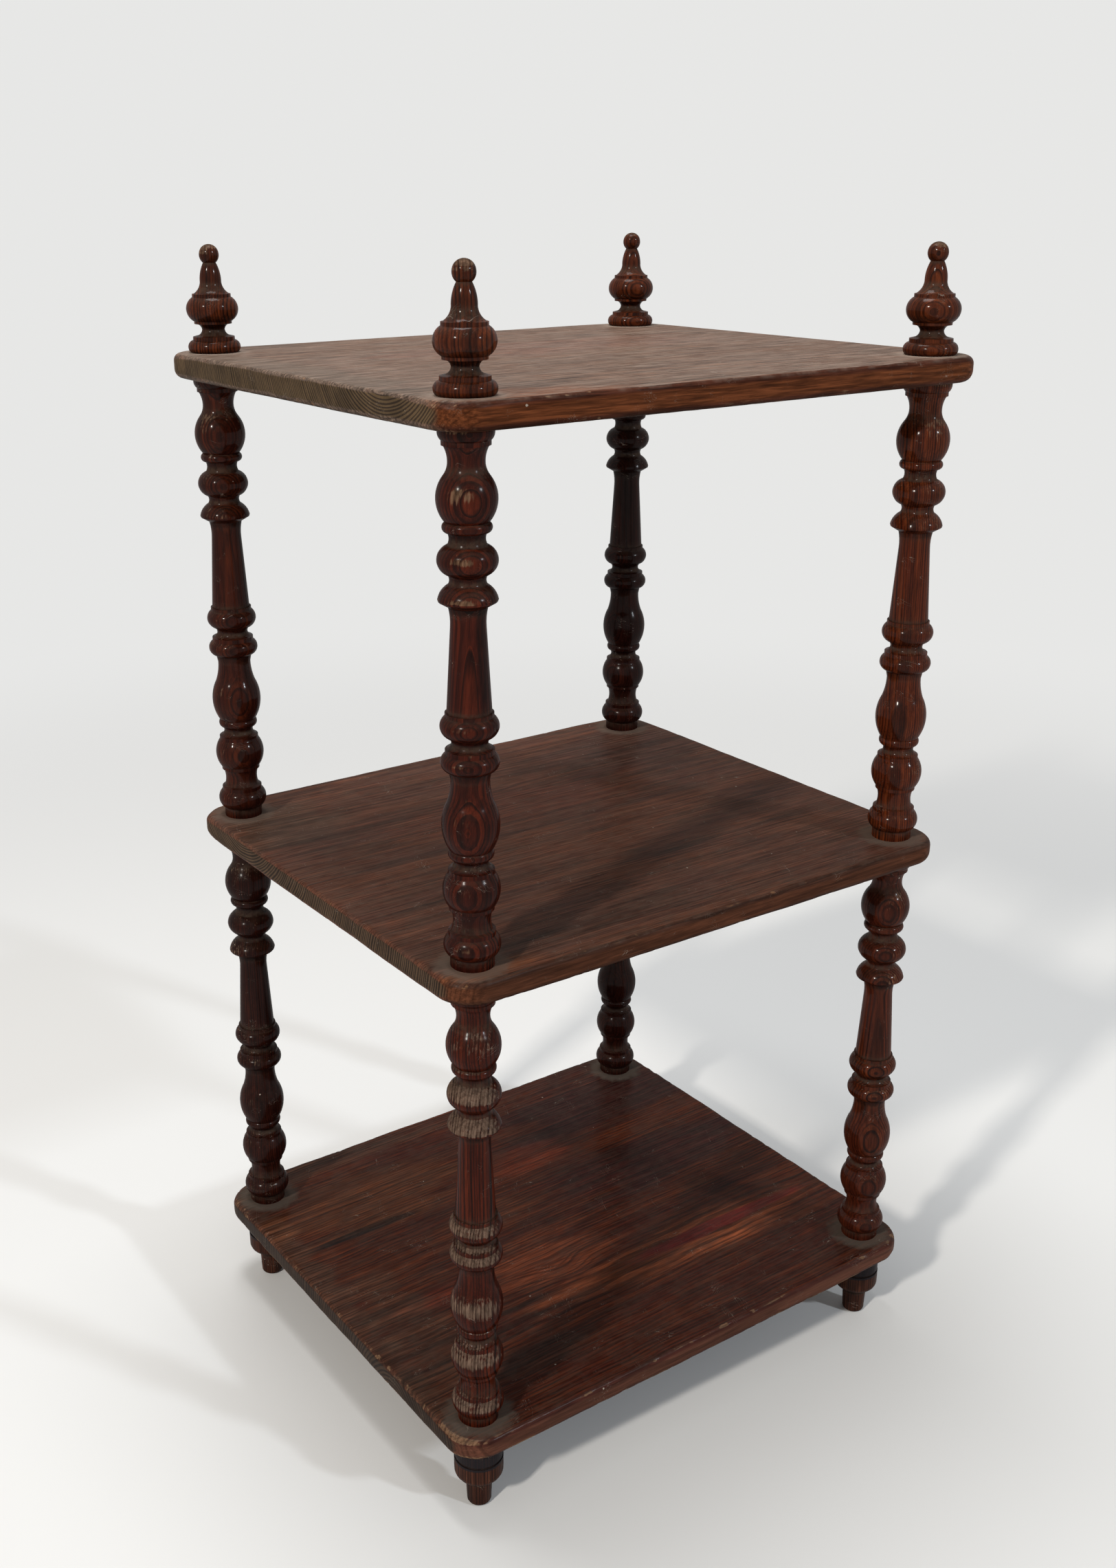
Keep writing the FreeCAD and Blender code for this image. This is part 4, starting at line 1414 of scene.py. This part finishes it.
def turned_pieces() -> list[TurnedPiece]:
    """Posts, finials and feet with the timber and the wear that each one shows.

    Returns:
        The pieces, from the top down.
    """
    upright, sloping = (0.0, 0.0), bearing(237, 0.06)
    near_upper = {"rubbed_side": 222.0, "outward": 0.66, "lobe": (0.82, 0.98)}
    near_lower = {"rubbed_side": 205.0, "outward": 0.85, "kept": 0.6}
    rows = (
        (Finial, "finial_front_left", (150, 60), (0.02, 0.0), 2.5, CAP, CAPS, {}),
        (Finial, "finial_front_right", (221, 48), (0.0, 0.03), 2.4, CAP, CAPS, {}),
        (Finial, "finial_back_left", (160, 55), (0.01, 0.02), 2.2, CAP, CAPS, {}),
        (Finial, "finial_back_right", (250, 55), upright, 2.2, CAP, CAPS, {}),
        (TurnedPiece, "upper_post_front_left", (230, 52), sloping, 2.8, EYED, STREAKED, near_upper),
        (TurnedPiece, "upper_post_front_right", (311, 60), (0.0, 0.01), 1.9, AMBER, SHOULDERS, {}),
        (TurnedPiece, "upper_post_back_left", (252, 55), (0.03, 0.02), 2.3, GLOSSY, SHOULDERS, {}),
        (TurnedPiece, "upper_post_back_right", (200, 50), (0.01, 0.0), 2.1, DARK, SHOULDERS, {}),
        (TurnedPiece, "lower_post_front_left", (147, 64), (0.005, 0.005), 2.2, SUNNED, HARD_WORN, near_lower),
        (TurnedPiece, "lower_post_front_right", (236, 50), (0.02, 0.02), 2.4, RUSSET, SHOULDERS, {}),
        (TurnedPiece, "lower_post_back_left", (155, 60), (0.0, 0.01), 1.8, DARK, SHOULDERS, {}),
        (TurnedPiece, "lower_post_back_right", (210, 50), (0.02, 0.0), 2.1, DARK, SHOULDERS, {}),
        (Foot, "foot_front_left", (160, 50), upright, 1.9, FOOT, DRUMS, {}),
        (Foot, "foot_front_right", (140, 50), upright, 1.9, FOOT, DRUMS, {}),
        (Foot, "foot_back_left", (150, 50), upright, 1.9, FOOT, DRUMS, {}),
        (Foot, "foot_back_right", (240, 50), upright, 1.9, FOOT, DRUMS, {}),
    )
    return [kind(node, Timber(bearing(angle, distance * MM), lean, ring * MM, float(seed)), finish,
                 rubbed_at=wear, **habits)
            for seed, (kind, node, (angle, distance), lean, ring, finish, wear, habits) in enumerate(rows, 1)]


def shelf_boards() -> list[ShelfBoard]:
    """The three boards, each sawn from its own place in the trunk.

    Returns:
        The boards, from the top down.
    """
    return [
        ShelfBoard("shelf_top", Timber((-0.13, 0.045), (0.0, 0.02), 2.3 * MM, 21.0, 8 * MM, 2 * MM),
                   TOP_BOARD, patches=TOP_PATCHES, corner_rubbed=0.3, rim_rubbed=0.2, dry_sheen=0.6, streaked=0.42,
                   chip_depth=0.5 * MM, smudged=0.2, smudge_colour=stain(84, 68, 58),
                   lit_side_colour=stain(88, 46, 23), shaded_band_colour=stain(62, 29, 17), side_figure=0.75,
                   end_colour=stain(48, 38, 29), end_pale=stain(84, 68, 49)),
        ShelfBoard("shelf_middle", Timber((0.11, 0.05), (0.01, 0.015), 2.4 * MM, 22.0, 10 * MM, 2 * MM),
                   MIDDLE_BOARD, patches=MIDDLE_PATCHES, corner_rubbed=0.28, rim_rubbed=0.2, dry_sheen=0.3,
                   streaked=0.17, chip_depth=0.6 * MM, smudged=0.4, smudge_colour=stain(62, 48, 39),
                   lit_side_colour=stain(74, 43, 28), shaded_band_colour=stain(58, 36, 27), side_figure=0.8,
                   end_colour=stain(38, 30, 24), end_pale=stain(76, 60, 46)),
        ShelfBoard("shelf_bottom", Timber((-0.095, -0.03), (0.0, -0.012), 3.3 * MM, 23.0, 9 * MM, 5 * MM,
                                          knot=(-0.065, 0.0, -0.045), swell=7 * MM),
                   BOTTOM_BOARD, patches=BOTTOM_PATCHES, corner_rubbed=0.85, rim_rubbed=0.5,
                   lower_rubbed=0.85, dry_sheen=0.2, streaked=0.25, chip_depth=1.2 * MM, smudged=0.3,
                   smudge_colour=stain(50, 37, 31),
                   lit_side_colour=stain(82, 50, 38), shaded_band_colour=stain(60, 30, 24), side_figure=0.5,
                   end_colour=stain(34, 26, 22), end_pale=stain(54, 42, 34)),
    ]


@dataclass
class Studio:
    """Pale floor, soft lamps and the camera.

    Attributes:
        eye: Place of the camera.
        yaw: Turn of the camera to the right of +Y, in degrees.
        pitch: Tilt over the horizon, in degrees.
        roll: Turn about the line of sight, in degrees.
        focal_px: Focal length in pixels of the whole frame.
        centre_px: Where the line of sight meets the frame, from its middle, in pixels, right and down.
        tall_px: Height of the frame in pixels.
        sensor: Height of the sensor in millimetres.
        pale: Colour of the floor and the surroundings.
        ambient: Strength at which the surroundings light the shelf.
        target: What the lamps point at.
        floor_reach: Radius of the floor.
        fade: Distances from the shelf between which the floor fades into the surroundings.
    """

    eye: Vector = field(default_factory=lambda: Vector((-0.7430, -1.0006, 0.9397)))
    yaw: float = 34.1016
    pitch: float = -19.9598
    roll: float = -0.4235
    focal_px: float = 2389.23
    centre_px: tuple[float, float] = (-93.73, -1.44)
    tall_px: int = 2281
    sensor: float = 36.0
    pale: Colour = (0.80, 0.80, 0.79)
    ambient: float = 0.28
    target: Vector = field(default_factory=lambda: Vector((0.0, 0.0, 0.5)))
    floor_reach: float = 14.0
    fade: tuple[float, float] = (0.7, 2.4)

    def camera(self) -> None:
        """Camera at the photograph's place and angle."""
        data = bpy.data.cameras.new("camera")
        data.sensor_fit = "VERTICAL"
        data.sensor_height = data.sensor_width = self.sensor
        data.lens = self.focal_px / self.tall_px * self.sensor
        data.shift_x = -self.centre_px[0] / self.tall_px
        data.shift_y = self.centre_px[1] / self.tall_px
        data.clip_start, data.clip_end = 0.02, 60.0
        camera = bpy.data.objects.new("camera", data)
        bpy.context.scene.collection.objects.link(camera)
        yaw, pitch, roll = (math.radians(angle) for angle in (self.yaw, self.pitch, self.roll))
        forward = Vector((math.cos(pitch) * math.sin(yaw), math.cos(pitch) * math.cos(yaw), math.sin(pitch)))
        level = Vector((math.cos(yaw), -math.sin(yaw), 0.0))
        above = level.cross(forward)
        right = math.cos(roll) * level + math.sin(roll) * above
        up = -math.sin(roll) * level + math.cos(roll) * above
        turn = Matrix((right, up, -forward)).transposed()
        camera.matrix_world = Matrix.Translation(self.eye) @ turn.to_4x4()
        bpy.context.scene.camera = camera

    def lamp(self, name: str, place: Vector, size: tuple[float, float], power: float, colour: Colour) -> None:
        """Soft rectangular lamp.

        Args:
            name: Name of the lamp.
            place: Where it hangs.
            size: Its width and height.
            power: Its power in watts.
            colour: Its colour.
        """
        data = bpy.data.lights.new(name, "AREA")
        data.shape = "RECTANGLE"
        data.size, data.size_y = size
        data.energy = power
        data.color = colour
        lamp = bpy.data.objects.new(name, data)
        lamp.location = place
        lamp.rotation_euler = (self.target - place).to_track_quat("-Z", "Y").to_euler()
        bpy.context.scene.collection.objects.link(lamp)

    def seen(self, graph: Graph) -> Value:
        """One for the rays that show the surroundings: straight, mirrored or through glass.

        Args:
            graph: Graph of the world or of the floor.

        Returns:
            One for these rays, nothing for the others.
        """
        path = graph.add("LightPath")
        straight, mirrored, through = (graph.take(path, f"Is {kind} Ray") for kind in
                                       ("Camera", "Glossy", "Transmission"))
        return straight | mirrored | through

    def world(self) -> None:
        """Even pale surroundings that light the shelf less than they show."""
        world = bpy.data.worlds.new("surroundings")
        world.use_nodes = True
        graph = Graph(world.node_tree)
        lit = graph.take(graph.add("Background", (1.0, 1.0, 1.0), self.ambient))
        shown = graph.take(graph.add("Background", self.pale, 1.0))
        graph.add("OutputWorld", graph.take(graph.add("MixShader", self.seen(graph), lit, shown)))
        bpy.context.scene.world = world

    def floor(self) -> None:
        """Plain pale floor that fades into the surroundings."""
        mesh = bpy.data.meshes.new("floor")
        shape = bmesh.new()
        bmesh.ops.create_circle(shape, cap_ends=True, radius=self.floor_reach, segments=96)
        shape.to_mesh(mesh)
        shape.free()
        floor = bpy.data.objects.new("floor", mesh)
        bpy.context.scene.collection.objects.link(floor)
        material = bpy.data.materials.new("floor_paint")
        material.use_nodes = True
        graph = Graph(material.node_tree)
        where = graph.take(graph.add("TexCoord"), "Object")
        paint = graph.fill(graph.add("BsdfPrincipled"), {"Base Color": self.pale, "Roughness": 0.7})
        glow = graph.take(graph.add("Emission", self.pale, 1.0))
        share = where.length().step(*self.fade) * self.seen(graph)
        graph.add("OutputMaterial", graph.take(graph.add("MixShader", share, graph.take(paint), glow)))
        mesh.materials.append(material)

    def build(self) -> None:
        """Floor, surroundings, lamps and camera."""
        self.world()
        self.floor()
        self.lamp("left_lamp", Vector((-5.4, -1.98, 4.14)), (0.4, 0.52), 272.0, (1.0, 0.94, 0.86))
        self.lamp("right_lamp", Vector((2.7, -5.76, 3.78)), (0.4, 0.52), 164.0, (0.86, 0.93, 1.0))
        self.lamp("top_lamp", Vector((-0.1, 0.3, 2.8)), (0.9, 0.9), 36.0, (1.0, 1.0, 1.0))
        self.camera()
        bpy.context.scene.view_settings.view_transform = "Standard"


def main() -> None:
    """Build the looks, piece by piece."""
    logging.basicConfig(level=logging.INFO, format="%(name)s: %(message)s")
    effects = Effects()
    Studio().build()
    for piece in (*turned_pieces(), *shelf_boards()):
        piece.build(effects)


if __name__ == "__main__":
    main()
